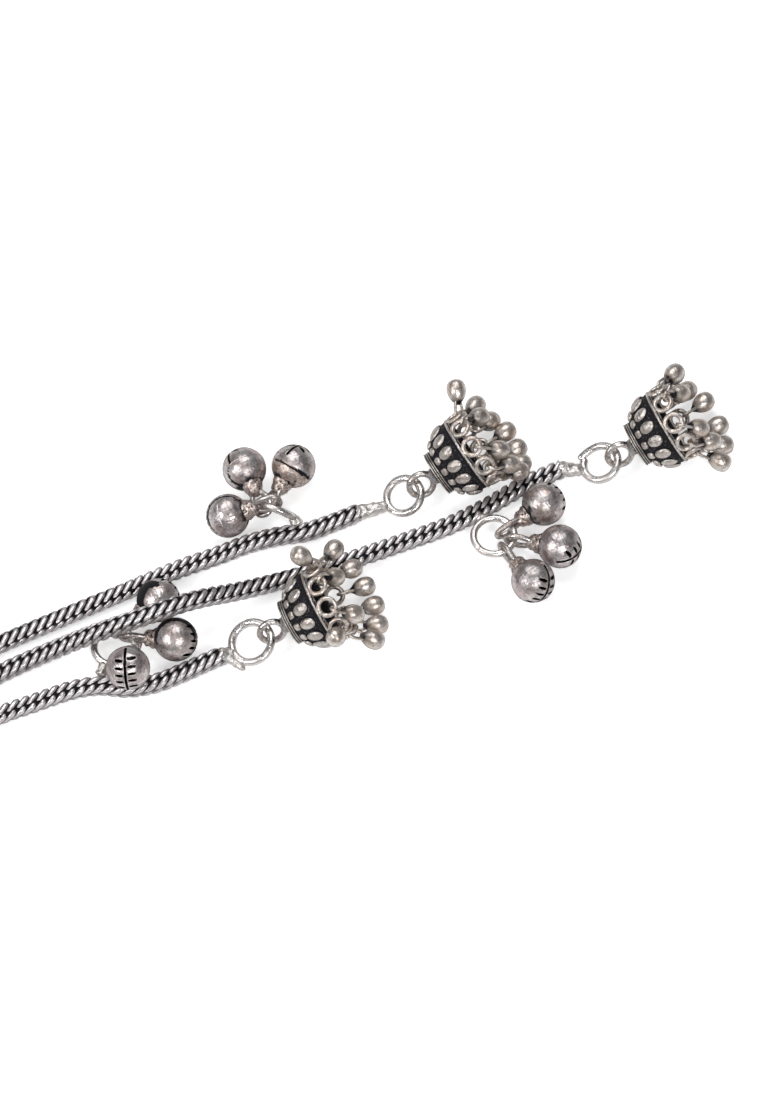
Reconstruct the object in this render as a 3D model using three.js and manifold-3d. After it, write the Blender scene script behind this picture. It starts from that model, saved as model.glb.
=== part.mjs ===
// A chain drop earring in oxidised silver, lying on a surface.
// Three square woven chains of staggered length hang from one ring on an ear hook.
// Each chain ends in a ring that carries a small granulated dome bell with a fringe of drops,
// and partway along it a side ring carries three round hollow bells.
// Millimetres, +Z up. The chains run along X, with the ear hook at the low end.
import * as THREE from 'three';
import { mergeVertices } from 'three/addons/utils/BufferGeometryUtils.js';
import Module from 'manifold-3d';

const wasm = await Module();
wasm.setup();

// Woven chain: a rounded square section.
const CHAIN = { width: 2.1, corner: 0.6, steps: 28 };

// Rings and loops of round wire. radius is to the wire's centre line, wire is the wire's radius.
const TOP_RING = { x: -80, y: 0, z: 1.75, radius: 4, wire: 0.45 };
const UPPER_LOOP = { radius: 1.3, wire: 0.4, height: 1.75 };
const SOLDER = { root: 0.95, tip: 0.5 };

// Ear hook wire: a shank, a round bend and a straight tail with its tip turned out.
const HOOK = { wire: 0.4, shankStart: -85.3, bendAt: -92, bend: 5.5, tailEnd: -77, tipOut: 1.2 };

// Dome bell, hanging mouth down about its own Y axis, with the rim's middle as its origin.
const DOME = { radius: 4.85, wall: 0.45, rimDrop: 0.25, band: 0.12, collar: 2.75, ridge: 2.95,
  ridgeHeight: 0.75, neckRoot: 2.2, neckTop: 1.1, neckHeight: 0.85 };
const DOME_EYE = { radius: 1.55, wire: 0.4, height: 7.0 };
const GRAINS_PER_ROW = 14;
const OVAL_GRAIN = { latitude: 23, halfLength: 13, height: 0.38 };
const SQUARE_GRAIN = { latitude: 44, height: 0.3 };
const RIM_LOOP = { count: 10, radius: 1.08, wire: 0.22, at: 4.72 };
const RIM_LOOP_HEIGHT = -(DOME.rimDrop + RIM_LOOP.radius - 0.06);

// Drop of the fringe, hanging down its own Y axis from the wire that it is linked on.
const DROP_EYE = { halfWidth: 0.6, wire: 0.2, legs: 1.9, foot: 0.22, farthestSlide: 48 };
const DROP_BEAD = { top: 1.1, widest: 3.0, bottom: 4.3, radius: 1.22 };

// Round bell, hanging down its own Y axis, with the ball's middle as its origin.
const BELL = { radius: 2.75, wall: 0.4, slit: 0.34, slitTop: -0.3 };
const BELL_NECK = { from: 2.1, to: 3.9, root: 1.5, tip: 0.75 };
const BELL_EYE = { halfWidth: 1.05, wire: 0.35, arcAt: 6.0, foot: 0.4, footAt: 3.5 };

// Chain routes, from the upper end to the lower one, with the height of the chain's middle.
const ROUTES = {
  chain_1: [[-75.45, 2.84, 1.05], [-70, 4.3, 1.05], [-63, 6.2, 1.05], [-56, 7.6, 1.05],
    [-49.9, 8.1, 1.05], [-41.6, 8.3, 1.05], [-33.3, 8.4, 1.05], [-25, 8.5, 1.05], [-19.6, 8.2, 1.05],
    [-15.4, 8.1, 1.05], [-11.6, 7.5, 1.05], [-8.7, 6.7, 1.05], [-6, 6.5, 1.05], [-1.5, 6.5, 1.05]],
  chain_2: [[-74.55, 0, 1.05], [-70, 0.4, 1.05], [-64, 2, 1.05], [-58, 3.4, 1.1], [-51.6, 4.2, 1.25],
    [-43.5, 4.1, 2.1], [-37.2, 2.9, 4.4], [-32.2, 1.9, 5.75], [-29.5, 1.7, 5.95], [-25.4, 1.6, 5.2],
    [-19.9, 1.6, 3], [-14.4, 1.5, 1.5], [-8.5, 1, 1.15], [-2.5, 0.5, 1.15], [2.8, 0.2, 1.15],
    [8.2, 0, 1.15], [13.2, 0.4, 1.15], [19.3, 1.3, 1.15], [23.7, 1.5, 1.15]],
  chain_3: [[-75.45, -2.84, 1.05], [-71, -4, 1.05], [-66, -3.6, 1.05], [-60, -2, 1.05],
    [-54.1, -1, 1.05], [-48.7, -1.2, 1.05], [-44, -1.5, 1.05], [-40.9, -2.3, 1.05],
    [-37.6, -4.1, 1.05], [-34.5, -4.9, 1.05], [-31, -5, 1.05], [-28.3, -4.9, 1.05],
    [-24.8, -4.8, 1.05]],
};

// Rings soldered at the lower chain ends: middle, radius and how far the far side is tipped up.
const END_RING_WIRE = 0.5;
const END_RINGS = {
  chain_1: { x: 4.6, y: 5.9, z: 1.8, radius: 2.3, tip: 22, heading: 2 },
  chain_2: { x: 29.0, y: -0.1, z: 1.8, radius: 2.3, tip: 22, heading: -8 },
  chain_3: { x: -21.2, y: -5.0, z: 1.8, radius: 2.6, tip: 20, heading: 0 },
};

// Side rings: middle, radius, the ring plane's normal, and the chain point that they are soldered to.
const SIDE_RING_WIRE = 0.45;
const SIDE_RINGS = {
  chain_1: { x: -10.9, y: 10.2, z: 2.95, radius: 2.3, normal: [0.7, 0.56, 0.43],
    solder: [-9.2, 7.6, 1.75] },
  chain_2: { x: 12.5, y: -3.9, z: 1.65, radius: 2.55, normal: [0, 0, 1], solder: [12.3, -0.7, 1.3] },
  chain_3: { x: -36.9, y: 1.6, z: 1.6, radius: 2.55, normal: [0, 0, 1],
    solder: [-40.2, -1.3, 1.3] },
};

// Dome bells: the rim's middle, the heading and rise of the mouth, and how far the eye is turned up.
const DOMES = {
  dome_1: { x: 13.6, y: 6.4, z: 5.2, heading: 4, rise: 20, eyeTurn: 35 },
  dome_2: { x: 38, y: -0.5, z: 5.2, heading: 0, rise: 20, eyeTurn: 30 },
  dome_3: { x: -11.9, y: -5.6, z: 5.2, heading: -4, rise: 20, eyeTurn: 25 },
};

// Which way each drop hangs from its rim loop: heading in plan from +X, and dip below level.
const DROP_POSES = {
  dome_1: [
    { heading: 0, dip: 45 }, { heading: -10, dip: 35 }, { heading: 15, dip: 35 },
    { heading: 100, dip: 20 }, { heading: 35, dip: 32 }, { heading: 22, dip: 27 },
    { heading: 14, dip: 5 }, { heading: 12, dip: 3 }, { heading: 12, dip: 16 },
    { heading: 8, dip: 35 }],
  dome_2: [
    { heading: -10, dip: 52 }, { heading: -10, dip: 40 }, { heading: 15, dip: 40 },
    { heading: 35, dip: 25 }, { heading: 50, dip: 42 }, { heading: 30, dip: 28 },
    { heading: 15, dip: 5 }, { heading: 0, dip: 3 }, { heading: -10, dip: 20 },
    { heading: -60, dip: 60 }],
  dome_3: [
    { heading: 212, dip: 5 }, { heading: -15, dip: 40 }, { heading: 15, dip: 45 },
    { heading: 140, dip: 5 }, { heading: 35, dip: 12 }, { heading: 5, dip: 14 },
    { heading: -3, dip: 5 }, { heading: -5, dip: 3 }, { heading: -10, dip: 18 },
    { heading: -30, dip: 48 }],
};

// Round bells: the ball's middle, its place on the side ring and the turn of its slit.
// On a level ring the place is an angle from +X; on the standing one it is from the ring's top.
const BELLS = {
  bell_1_a: { chain: 'chain_1', at: [-12.2, 17.2, 2.8], place: -92, slitTurn: 18 },
  bell_1_b: { chain: 'chain_1', at: [-6.4, 15, 2.8], place: -135, slitTurn: 155 },
  bell_1_c: { chain: 'chain_1', at: [-16.8, 12, 2.8], place: -30, slitTurn: 45 },
  bell_2_a: { chain: 'chain_2', at: [19.8, -2.9, 2.8], place: 8, slitTurn: 157 },
  bell_2_b: { chain: 'chain_2', at: [19.1, -9.2, 2.8], place: -38, slitTurn: 15 },
  bell_2_c: { chain: 'chain_2', at: [14, -12.2, 2.8], place: -82, slitTurn: 129 },
  bell_3_a: { chain: 'chain_3', at: [-29.5, 4.7, 2.8], place: 45, slitTurn: 165 },
  bell_3_b: { chain: 'chain_3', at: [-29.8, -1.2, 2.8], place: 5, slitTurn: 161 },
  bell_3_c: { chain: 'chain_3', at: [-37.3, -3.7, 5.5], place: -45, slitTurn: 152 },
};

const FINISH = {
  chain: { color: 0x8d8a8c, roughness: 0.38, metalness: 1 },
  ring: { color: 0xb9b5b0, roughness: 0.3, metalness: 1 },
  dome: { color: 0x6f6b6a, roughness: 0.4, metalness: 1 },
  drop: { color: 0xb0a595, roughness: 0.32, metalness: 1 },
  bell: { color: 0x97908f, roughness: 0.35, metalness: 1 },
};

const degrees = (angle) => THREE.MathUtils.degToRad(angle);
const vector = (list) => new THREE.Vector3(...list);
const UP = new THREE.Vector3(0, 0, 1);

// A closed three.js geometry as a solid, with its shared corners merged and its faces pointing out.
function solid(geometry, transform = new THREE.Matrix4()) {
  const bare = geometry.clone();
  bare.deleteAttribute('normal');
  bare.deleteAttribute('uv');
  const merged = mergeVertices(bare, 1e-4);
  merged.applyMatrix4(transform);
  const positions = merged.attributes.position.array;
  const corner = (i) => new THREE.Vector3().fromArray(positions, 3 * i);
  const faces = [];
  let volume = 0;
  for (let f = 0; f < merged.index.count; f += 3) {
    const [a, b, c] = merged.index.array.slice(f, f + 3);
    if (a !== b && b !== c && c !== a) {
      faces.push([a, b, c]);
      volume += corner(a).dot(corner(b).cross(corner(c)));
    }
  }
  const outward = volume > 0 ? faces : faces.map(([a, b, c]) => [a, c, b]);
  return new wasm.Manifold(new wasm.Mesh({
    numProp: 3,
    vertProperties: Float32Array.from(positions),
    triVerts: Uint32Array.from(outward.flat()),
  }));
}

function geometryOf(body) {
  const mesh = body.getMesh();
  const geometry = new THREE.BufferGeometry();
  geometry.setAttribute('position', new THREE.BufferAttribute(mesh.vertProperties, 3));
  geometry.setIndex(new THREE.BufferAttribute(mesh.triVerts, 1));
  geometry.computeVertexNormals();
  return geometry;
}

const join = (bodies) => bodies.reduce((whole, body) => whole.add(body));

function piece(name, body, finish) {
  const mesh = new THREE.Mesh(geometryOf(body), new THREE.MeshStandardMaterial(FINISH[finish]));
  mesh.name = name;
  return mesh;
}

// The matrix whose Y axis is y and whose Z axis is as near to zHint as it can be.
function basis(y, zHint, position) {
  const up = y.clone().normalize();
  const front = zHint.clone().addScaledVector(up, -zHint.dot(up)).normalize();
  const side = up.clone().cross(front);
  return new THREE.Matrix4().makeBasis(side, up, front).setPosition(position);
}

const round = (sides, radius) => {
  const points = [];
  for (let i = 0; i < sides; i += 1) {
    const angle = (2 * Math.PI * (i + 0.5)) / sides;
    points.push(new THREE.Vector2(radius * Math.cos(angle), radius * Math.sin(angle)));
  }
  return new THREE.Shape(points);
};

// Round wire along a smooth curve through the points.
function wire(points, radius, sides, steps) {
  const path = new THREE.CatmullRomCurve3(points.map(vector), false, 'centripetal');
  return solid(new THREE.ExtrudeGeometry(round(sides, radius), { steps, extrudePath: path }));
}

// A ring of round wire, with its axis along normal.
function ring(middle, normal, radius, wireRadius, sides, around) {
  const turn = new THREE.Quaternion().setFromUnitVectors(UP, normal.clone().normalize());
  const place = new THREE.Matrix4().compose(middle, turn, new THREE.Vector3(1, 1, 1));
  return solid(new THREE.TorusGeometry(radius, wireRadius, sides, around), place);
}

// A cone of solder from one point to another.
function solder(from, to, fromRadius, toRadius, sides = 7) {
  const length = from.distanceTo(to);
  const cone = new THREE.CylinderGeometry(toRadius, fromRadius, length, sides);
  const middle = from.clone().lerp(to, 0.5);
  const turn = new THREE.Quaternion().setFromUnitVectors(
    new THREE.Vector3(0, 1, 0), to.clone().sub(from).normalize());
  return solid(cone, new THREE.Matrix4().compose(middle, turn, new THREE.Vector3(1, 1, 1)));
}

function chainSection() {
  const half = CHAIN.width / 2;
  const flat = half - CHAIN.corner * 0.7;
  return new THREE.Shape([
    [half, -flat], [half, flat], [flat, half], [-flat, half],
    [-half, flat], [-half, -flat], [-flat, -half], [flat, -half],
  ].map(([x, y]) => new THREE.Vector2(x, y)));
}

// How an end ring is placed: its normal leans back so that the far side is up.
function endRingFrame(name) {
  const { x, y, z, radius, tip, heading } = END_RINGS[name];
  const forward = new THREE.Vector3(Math.cos(degrees(heading)), Math.sin(degrees(heading)), 0);
  const normal = UP.clone().multiplyScalar(Math.cos(degrees(tip)))
    .addScaledVector(forward, -Math.sin(degrees(tip)));
  const along = forward.clone().multiplyScalar(Math.cos(degrees(tip)))
    .addScaledVector(UP, Math.sin(degrees(tip)));
  return { middle: new THREE.Vector3(x, y, z), normal, along, radius };
}

function sideRingFrame(name) {
  const { x, y, z, radius, normal, solder: spot } = SIDE_RINGS[name];
  return { middle: new THREE.Vector3(x, y, z), normal: vector(normal).normalize(), radius,
    solder: vector(spot) };
}

// One chain with its upper loop, solder, end ring and side ring, which are soldered into one.
function chain(name) {
  const route = ROUTES[name].map(vector);
  const path = new THREE.CatmullRomCurve3(route, false, 'centripetal');
  const woven = solid(new THREE.ExtrudeGeometry(chainSection(), {
    steps: CHAIN.steps, extrudePath: path }));

  const start = route[0];
  const outward = path.getTangent(0).negate().setZ(0).normalize();
  const loopMiddle = start.clone().addScaledVector(outward, UPPER_LOOP.radius - 0.05)
    .setZ(UPPER_LOOP.height);
  const upperLoop = ring(loopMiddle, outward.clone().cross(UP), UPPER_LOOP.radius,
    UPPER_LOOP.wire, 5, 10);

  const end = route[route.length - 1];
  const { middle, normal, along, radius } = endRingFrame(name);
  const endRing = ring(middle, normal, radius, END_RING_WIRE, 5, 14);
  const nearSide = middle.clone().addScaledVector(along, -radius);
  const towards = nearSide.clone().sub(end).normalize();
  const endSolder = solder(end.clone().addScaledVector(towards, -0.3), nearSide,
    SOLDER.root, SOLDER.tip);

  const side = sideRingFrame(name);
  const sideRing = ring(side.middle, side.normal, side.radius, SIDE_RING_WIRE, 5, 14);
  const ringSpot = side.solder.clone().sub(side.middle);
  ringSpot.addScaledVector(side.normal, -ringSpot.dot(side.normal)).setLength(side.radius)
    .add(side.middle);
  const sideSolder = solder(side.solder, ringSpot, 0.75, 0.6);
  return piece(name, join([woven, upperLoop, endSolder, endRing, sideSolder, sideRing]), 'chain');
}

// Pushes out every other point of the dome's two grain rows, so that each grain stands proud.
function raiseGrains(geometry) {
  const positions = geometry.attributes.position;
  const spot = new THREE.Vector3();
  for (let i = 0; i < positions.count; i += 1) {
    spot.fromBufferAttribute(positions, i);
    const column = Math.round((Math.atan2(spot.x, spot.z) * GRAINS_PER_ROW) / Math.PI);
    const latitude = THREE.MathUtils.radToDeg(Math.asin(spot.y / spot.length()));
    const row = [OVAL_GRAIN, SQUARE_GRAIN].find((grain) => Math.abs(latitude - grain.latitude) < 1);
    if (row && column % 2 === 0 && spot.length() > DOME.radius - 0.5 * DOME.wall) {
      spot.setLength(DOME.radius + row.height);
      positions.setXYZ(i, spot.x, spot.y, spot.z);
    }
  }
  return geometry;
}

function domeShell() {
  const point = (radius, latitude) => new THREE.Vector2(
    radius * Math.cos(degrees(latitude)), radius * Math.sin(degrees(latitude)));
  const inner = DOME.radius - DOME.wall;
  const collarHeight = Math.sqrt(DOME.radius ** 2 - DOME.collar ** 2);
  const ridgeTop = collarHeight + DOME.ridgeHeight;
  const rowEdges = [OVAL_GRAIN.latitude - OVAL_GRAIN.halfLength, OVAL_GRAIN.latitude,
    OVAL_GRAIN.latitude + OVAL_GRAIN.halfLength, SQUARE_GRAIN.latitude];
  const profile = [
    new THREE.Vector2(0, collarHeight - 0.3), point(inner, 42),
    new THREE.Vector2(inner, -DOME.rimDrop),
    new THREE.Vector2(DOME.radius + DOME.band, -DOME.rimDrop),
    new THREE.Vector2(DOME.radius + DOME.band, 0.45),
    ...rowEdges.map((latitude) => point(DOME.radius, latitude)),
    new THREE.Vector2(DOME.ridge, collarHeight),
    new THREE.Vector2(DOME.ridge, ridgeTop),
    new THREE.Vector2(DOME.neckRoot, ridgeTop + 0.1),
    new THREE.Vector2(DOME.neckTop, ridgeTop + DOME.neckHeight),
    new THREE.Vector2(0, ridgeTop + DOME.neckHeight),
  ];
  return solid(raiseGrains(new THREE.LatheGeometry(profile, 2 * GRAINS_PER_ROW)));
}

// The frame of one rim loop: Y is up the loop, Z points away from the dome's middle line.
function rimLoopMatrix(index) {
  const angle = (2 * Math.PI * index) / RIM_LOOP.count;
  return new THREE.Matrix4().makeRotationY(angle)
    .multiply(new THREE.Matrix4().makeTranslation(0, RIM_LOOP_HEIGHT, RIM_LOOP.at));
}

// The frame of a drop on its rim loop. The drop slides along the loop towards the way it hangs,
// then swings out of the loop's plane.
function dropMatrix(index, { heading, dip }, domeMatrix) {
  const loop = rimLoopMatrix(index);
  const level = Math.cos(degrees(dip));
  const hang = new THREE.Vector3(level * Math.cos(degrees(heading)),
    level * Math.sin(degrees(heading)), -Math.sin(degrees(dip)));
  hang.transformDirection(domeMatrix.clone().multiply(loop).invert());
  const farthest = degrees(DROP_EYE.farthestSlide);
  const slide = THREE.MathUtils.clamp(Math.atan2(hang.x, -hang.y), -farthest, farthest);
  const swing = Math.atan2(hang.z, hang.x * Math.sin(slide) - hang.y * Math.cos(slide));
  return loop.multiply(new THREE.Matrix4().makeRotationZ(slide))
    .multiply(new THREE.Matrix4().makeTranslation(0, -RIM_LOOP.radius, 0))
    .multiply(new THREE.Matrix4().makeRotationX(-swing));
}

function domeBody() {
  const parts = [domeShell()];
  for (let i = 0; i < RIM_LOOP.count; i += 1) {
    parts.push(solid(new THREE.TorusGeometry(RIM_LOOP.radius, RIM_LOOP.wire, 5, 10),
      rimLoopMatrix(i)));
  }
  parts.push(solid(new THREE.TorusGeometry(DOME_EYE.radius, DOME_EYE.wire, 5, 12),
    new THREE.Matrix4().makeTranslation(0, DOME_EYE.height, 0)));
  return join(parts);
}

function dropBody() {
  const { halfWidth, wire: thick, legs, foot } = DROP_EYE;
  const turn = halfWidth * Math.SQRT1_2;
  const hairpin = wire([
    [0, -legs, -foot], [0, -0.6 * legs, -0.75 * halfWidth], [0, 0, -halfWidth], [0, turn, -turn],
    [0, halfWidth, 0], [0, turn, turn], [0, 0, halfWidth], [0, -0.6 * legs, 0.75 * halfWidth],
    [0, -legs, foot]], thick, 5, 8);
  const { top, widest, bottom, radius } = DROP_BEAD;
  const bead = solid(new THREE.LatheGeometry([
    [0, -bottom], [0.75 * radius, -0.92 * bottom], [radius, -widest], [0, -top],
  ].map(([x, y]) => new THREE.Vector2(x, y)), 10));
  return hairpin.add(bead);
}

// A hollow ball with a long slit through its foot, a rough neck of solder and a long wire eye.
function bellBody(slitTurn) {
  const { radius, wall, slit, slitTop } = BELL;
  const outer = solid(new THREE.SphereGeometry(radius, 10, 6));
  const inner = solid(new THREE.SphereGeometry(radius - wall, 7, 4));
  const cutDepth = radius + slitTop + 0.5;
  const slitPlace = new THREE.Matrix4().makeRotationY(degrees(slitTurn))
    .multiply(new THREE.Matrix4().makeTranslation(0, slitTop - cutDepth / 2, 0));
  const slitCut = solid(new THREE.BoxGeometry(slit, cutDepth, 2 * radius + 1), slitPlace);
  const { halfWidth, wire: thick, arcAt, foot, footAt } = BELL_EYE;
  const turn = halfWidth * Math.SQRT1_2;
  const eye = wire([
    [-foot, footAt, 0], [-halfWidth, arcAt - 1, 0], [-halfWidth, arcAt, 0],
    [-turn, arcAt + turn, 0], [0, arcAt + halfWidth, 0], [turn, arcAt + turn, 0],
    [halfWidth, arcAt, 0], [halfWidth, arcAt - 1, 0], [foot, footAt, 0]], thick, 5, 8);
  const neck = solder(new THREE.Vector3(0, BELL_NECK.from, 0), new THREE.Vector3(0, BELL_NECK.to, 0),
    BELL_NECK.root, BELL_NECK.tip, 7);
  return outer.add(neck).subtract(inner).subtract(slitCut).add(eye);
}

function dome(name, body, drop) {
  const { x, y, z, heading, rise, eyeTurn } = DOMES[name];
  const mouth = new THREE.Vector3(
    Math.cos(degrees(rise)) * Math.cos(degrees(heading)),
    Math.cos(degrees(rise)) * Math.sin(degrees(heading)),
    Math.sin(degrees(rise)));
  const eyeNormal = new THREE.Vector3(0, -Math.cos(degrees(eyeTurn)), Math.sin(degrees(eyeTurn)));
  const group = new THREE.Group();
  group.applyMatrix4(basis(mouth.negate(), eyeNormal, new THREE.Vector3(x, y, z)));
  group.add(piece(name, body, 'dome'));
  group.updateMatrixWorld(true);
  DROP_POSES[name].forEach((pose, index) => {
    const hung = new THREE.Group();
    hung.applyMatrix4(dropMatrix(index, pose, group.matrixWorld));
    hung.add(piece(`${name.replace('dome', 'drop')}_${index + 1}`, drop, 'drop'));
    group.add(hung);
  });
  return group;
}

function bell(name) {
  const { chain: owner, at, place, slitTurn } = BELLS[name];
  const { middle, normal, radius } = sideRingFrame(owner);
  const level = Math.abs(normal.z) > 0.9;
  const first = level ? new THREE.Vector3(1, 0, 0)
    : UP.clone().addScaledVector(normal, -normal.z).normalize();
  const second = normal.clone().cross(first);
  const spoke = first.clone().multiplyScalar(Math.cos(degrees(place)))
    .addScaledVector(second, Math.sin(degrees(place)));
  const link = middle.clone().addScaledVector(spoke, radius);
  const ball = vector(at);
  const mesh = piece(name, bellBody(slitTurn), 'bell');
  mesh.applyMatrix4(basis(link.sub(ball), normal.clone().cross(spoke), ball));
  return mesh;
}

function topRing() {
  const { x, y, z, radius, wire: thick } = TOP_RING;
  return piece('top_ring', ring(new THREE.Vector3(x, y, z), UP, radius, thick, 5, 16), 'ring');
}

function earHook() {
  const { wire: thick, shankStart, bendAt, bend, tailEnd, tipOut } = HOOK;
  const low = thick + 0.02;
  const loopMiddle = new THREE.Vector3(TOP_RING.x - TOP_RING.radius - 0.1, 0, UPPER_LOOP.height);
  const loop = ring(loopMiddle, new THREE.Vector3(0, 1, 0), UPPER_LOOP.radius,
    UPPER_LOOP.wire, 5, 10);
  const points = [[shankStart, 0, 1.3], [shankStart - 1.6, 0, 0.6], [shankStart - 3.4, 0, low]];
  for (let i = 0; i <= 8; i += 1) {
    const angle = (Math.PI * i) / 8;
    points.push([bendAt - bend * Math.sin(angle), bend - bend * Math.cos(angle), low]);
  }
  points.push([bendAt + 6, 2 * bend, low], [tailEnd - 3, 2 * bend + 0.1, low],
    [tailEnd, 2 * bend + tipOut, low]);
  return piece('ear_hook', wire(points, thick, 5, 24).add(loop), 'ring');
}

const earring = new THREE.Group();
earring.add(earHook(), topRing());
for (const name of Object.keys(ROUTES)) earring.add(chain(name));
const fringedDome = domeBody();
const drop = dropBody();
for (const name of Object.keys(DOMES)) earring.add(dome(name, fringedDome, drop));
for (const name of Object.keys(BELLS)) earring.add(bell(name));

// The origin is under the middle of the earring's plan, level with what it rests on.
const box = new THREE.Box3().setFromObject(earring, true);
const middle = box.getCenter(new THREE.Vector3());
earring.position.set(-middle.x, -middle.y, -box.min.z);
earring.updateMatrixWorld(true);

export default earring;
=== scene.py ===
"""The looks of a chain drop earring in oxidised silver, lying on a pale surface.

Lengths are in millimetres in the earring's own drawing, as its part was drawn, and each piece
is laid down in metres by in_metres() and set_down().
"""
import math

import bmesh
import bpy
from mathutils import Matrix, Vector, noise


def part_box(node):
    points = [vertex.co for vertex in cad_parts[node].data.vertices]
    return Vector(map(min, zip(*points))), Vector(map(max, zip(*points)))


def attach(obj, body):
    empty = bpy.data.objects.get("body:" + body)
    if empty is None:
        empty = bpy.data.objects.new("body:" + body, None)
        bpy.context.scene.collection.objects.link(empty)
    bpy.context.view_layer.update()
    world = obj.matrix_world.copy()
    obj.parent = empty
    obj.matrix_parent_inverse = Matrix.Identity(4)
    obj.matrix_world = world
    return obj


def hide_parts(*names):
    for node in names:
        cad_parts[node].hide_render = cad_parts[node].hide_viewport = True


MM = 0.001
UP = Vector((0, 0, 1))
BELL_AXIS = Vector((0, 1, 0))

# A direction lies nearly along another from this cosine up, and a turned form's end is this thin.
NEARLY_ALONG = 0.8
ON_AXIS = 0.01

# How finely curves are followed: steps between two given points, and how far apart a path's points
# lie on each kind of wire.
STEPS_BETWEEN = 24
SPACING = {"weave": 0.12, "chain_end": 0.3, "hook": 0.5, "bell_eye": 0.25, "drop_eye": 0.2}

# Chain and rings. radius is to the wire's centre line, wire is the wire's radius, and sunk is how
# far a loop goes into the end of its chain.
CHAIN_HALF_WIDTH = 1.1
CHAIN_FOOT = 0.01
TOP_RING = {"at": (-80.0, 0.0, 1.75), "radius": 4.0, "wire": 0.45, "cut": 120}
UPPER_LOOP = {"radius": 1.3, "wire": 0.4, "height": 1.75, "sunk": 0.05}
END_RING_WIRE = 0.5
SIDE_RING_WIRE = 0.45

# Ear hook. shank is (how far from its start, height) down to the surface, and tail is (x, how far
# out past the bend) from the bend to the tip.
HOOK = {"wire": 0.4, "lies_at": 0.42, "shank_start": -85.3,
        "shank": ((0, 1.3), (1.6, 0.6), (3.4, 0.42)), "bend_at": -92.0, "bend": 5.5,
        "tail": ((-86.0, 0), (-80.0, 0.1), (-77.0, 1.2)), "loop_gap": 0.1}

# How wire is finished: its rounded ends, as (how far out, how thick) shares of its radius. Where a
# ring's ends meet, how far apart and aside they stand, and where on the turn one starts to spring.
WIRE_END = {"rounding": ((0.5, 0.87), (0.87, 0.5)), "length": 0.6}
RING_CUT = {"gap": 0.12, "offset": 0.09, "springs_from": 0.86}

# Chain routes, from the upper end to the lower one, with the height of the chain's middle.
ROUTES = {
    "chain_1": [(-75.45, 2.84, 1.05), (-70, 4.3, 1.05), (-63, 6.2, 1.05), (-56, 7.6, 1.05),
                (-49.9, 8.1, 1.05), (-41.6, 8.3, 1.05), (-33.3, 8.4, 1.05), (-25, 8.5, 1.05),
                (-19.6, 8.2, 1.05), (-15.4, 8.1, 1.05), (-11.6, 7.5, 1.05), (-8.7, 6.7, 1.05),
                (-6, 6.5, 1.05), (-1.1, 6.45, 1.05)],
    "chain_2": [(-74.55, 0, 1.05), (-70, 0.4, 1.05), (-64, 2, 1.05), (-58, 3.4, 1.1),
                (-51.6, 4.2, 1.25), (-43.5, 4.1, 2.1), (-37.2, 2.9, 4.4), (-32.2, 1.9, 5.75),
                (-29.5, 1.7, 5.95), (-25.4, 1.6, 5.2), (-19.9, 1.6, 3), (-14.4, 1.5, 1.5),
                (-8.5, 1, 1.15), (-2.5, 0.5, 1.15), (2.8, 0.2, 1.15), (8.2, 0, 1.15),
                (13.2, 0.4, 1.15), (19.3, 1.3, 1.15), (24.3, 1.45, 1.2)],
    "chain_3": [(-75.45, -2.84, 1.05), (-71, -4, 1.05), (-66, -3.6, 1.05), (-60, -2, 1.05),
                (-54.1, -1, 1.05), (-48.7, -1.2, 1.05), (-44, -1.5, 1.05), (-40.9, -2.3, 1.05),
                (-37.6, -4.1, 1.05), (-34.5, -4.9, 1.05), (-31, -5, 1.05), (-28.3, -4.9, 1.05),
                (-24.8, -4.8, 1.05)],
}

# How far the weave is rolled about each chain's own line, as (x, degrees) from its upper end.
CHAIN_ROLL = {"chain_1": [(-50, 15), (-36, 5), (-26, -18), (-14, -42), (-3, -62)],
              "chain_2": [(-52, 38), (-32, 22), (-15, 12), (-6, -12), (6, -25), (23, -20)],
              "chain_3": [(-54, -12), (-42, -28), (-30, -55), (-25, -60)]}

# The weave's lobes. squareness is that of the chain's section, reach is the length of chain surface
# that one turn of the rows takes up, per radian, and a lobe is worn bright from worn_from upwards.
WEAVE_ROWS = 4
LOBE = {"pitch": 1.32, "half_length": 1.3, "half_width": 0.365, "half_height": 0.36, "slant": 52,
        "taper": -0.14, "fullness": 3, "flatness": 0.5, "bend": 0.45, "bend_aside": 0.3,
        "squareness": 4, "reach": 1.14, "worn_from": 0.35, "worn_over": 0.35, "tail_wear": 0.15}
CORE_SHARE = 0.6
CORE_SIDES = 24

# The chains' near sides are painted an even, lighter grey, a painted light standing in for light
# thrown up from the floor, where the tops are black and bright. The change is between these two
# directions round the chain, in degrees from straight up.
PAINTED_LIGHT_SIDE = {"from": 46, "full": 72, "recess": 0.4, "lobe": 0.62, "core": 0.86}

# tip and heading turn a ring, cut is where its wire's ends meet, in degrees, and sprung is how far
# one of them stands out.
END_RINGS = {
    "chain_1": {"at": (4.6, 5.9, 1.8), "radius": 2.3, "tip": 22, "heading": 2, "cut": 100},
    "chain_2": {"at": (29.0, -0.1, 1.8), "radius": 2.3, "tip": 22, "heading": -8, "cut": 135,
                "sprung": 0.5},
    "chain_3": {"at": (-21.2, -5.0, 1.8), "radius": 2.6, "tip": 20, "heading": 0, "cut": 80,
                "tongue": (-23.3, -7.8, 0.9)},
}
SIDE_RINGS = {
    "chain_1": {"at": (-10.9, 10.2, 2.95), "radius": 2.3, "normal": (0.7, 0.56, 0.43),
                "solder": (-9.2, 7.6, 1.75), "cut": 60},
    "chain_2": {"at": (12.5, -3.9, 1.65), "radius": 2.55, "normal": (0, 0, 1),
                "solder": (12.3, -0.7, 1.3), "cut": 200},
    "chain_3": {"at": (-36.9, 1.6, 1.6), "radius": 2.55, "normal": (0, 0, 1),
                "solder": (-40.2, -1.3, 1.3), "cut": 345, "sprung": 0.5},
}

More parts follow.
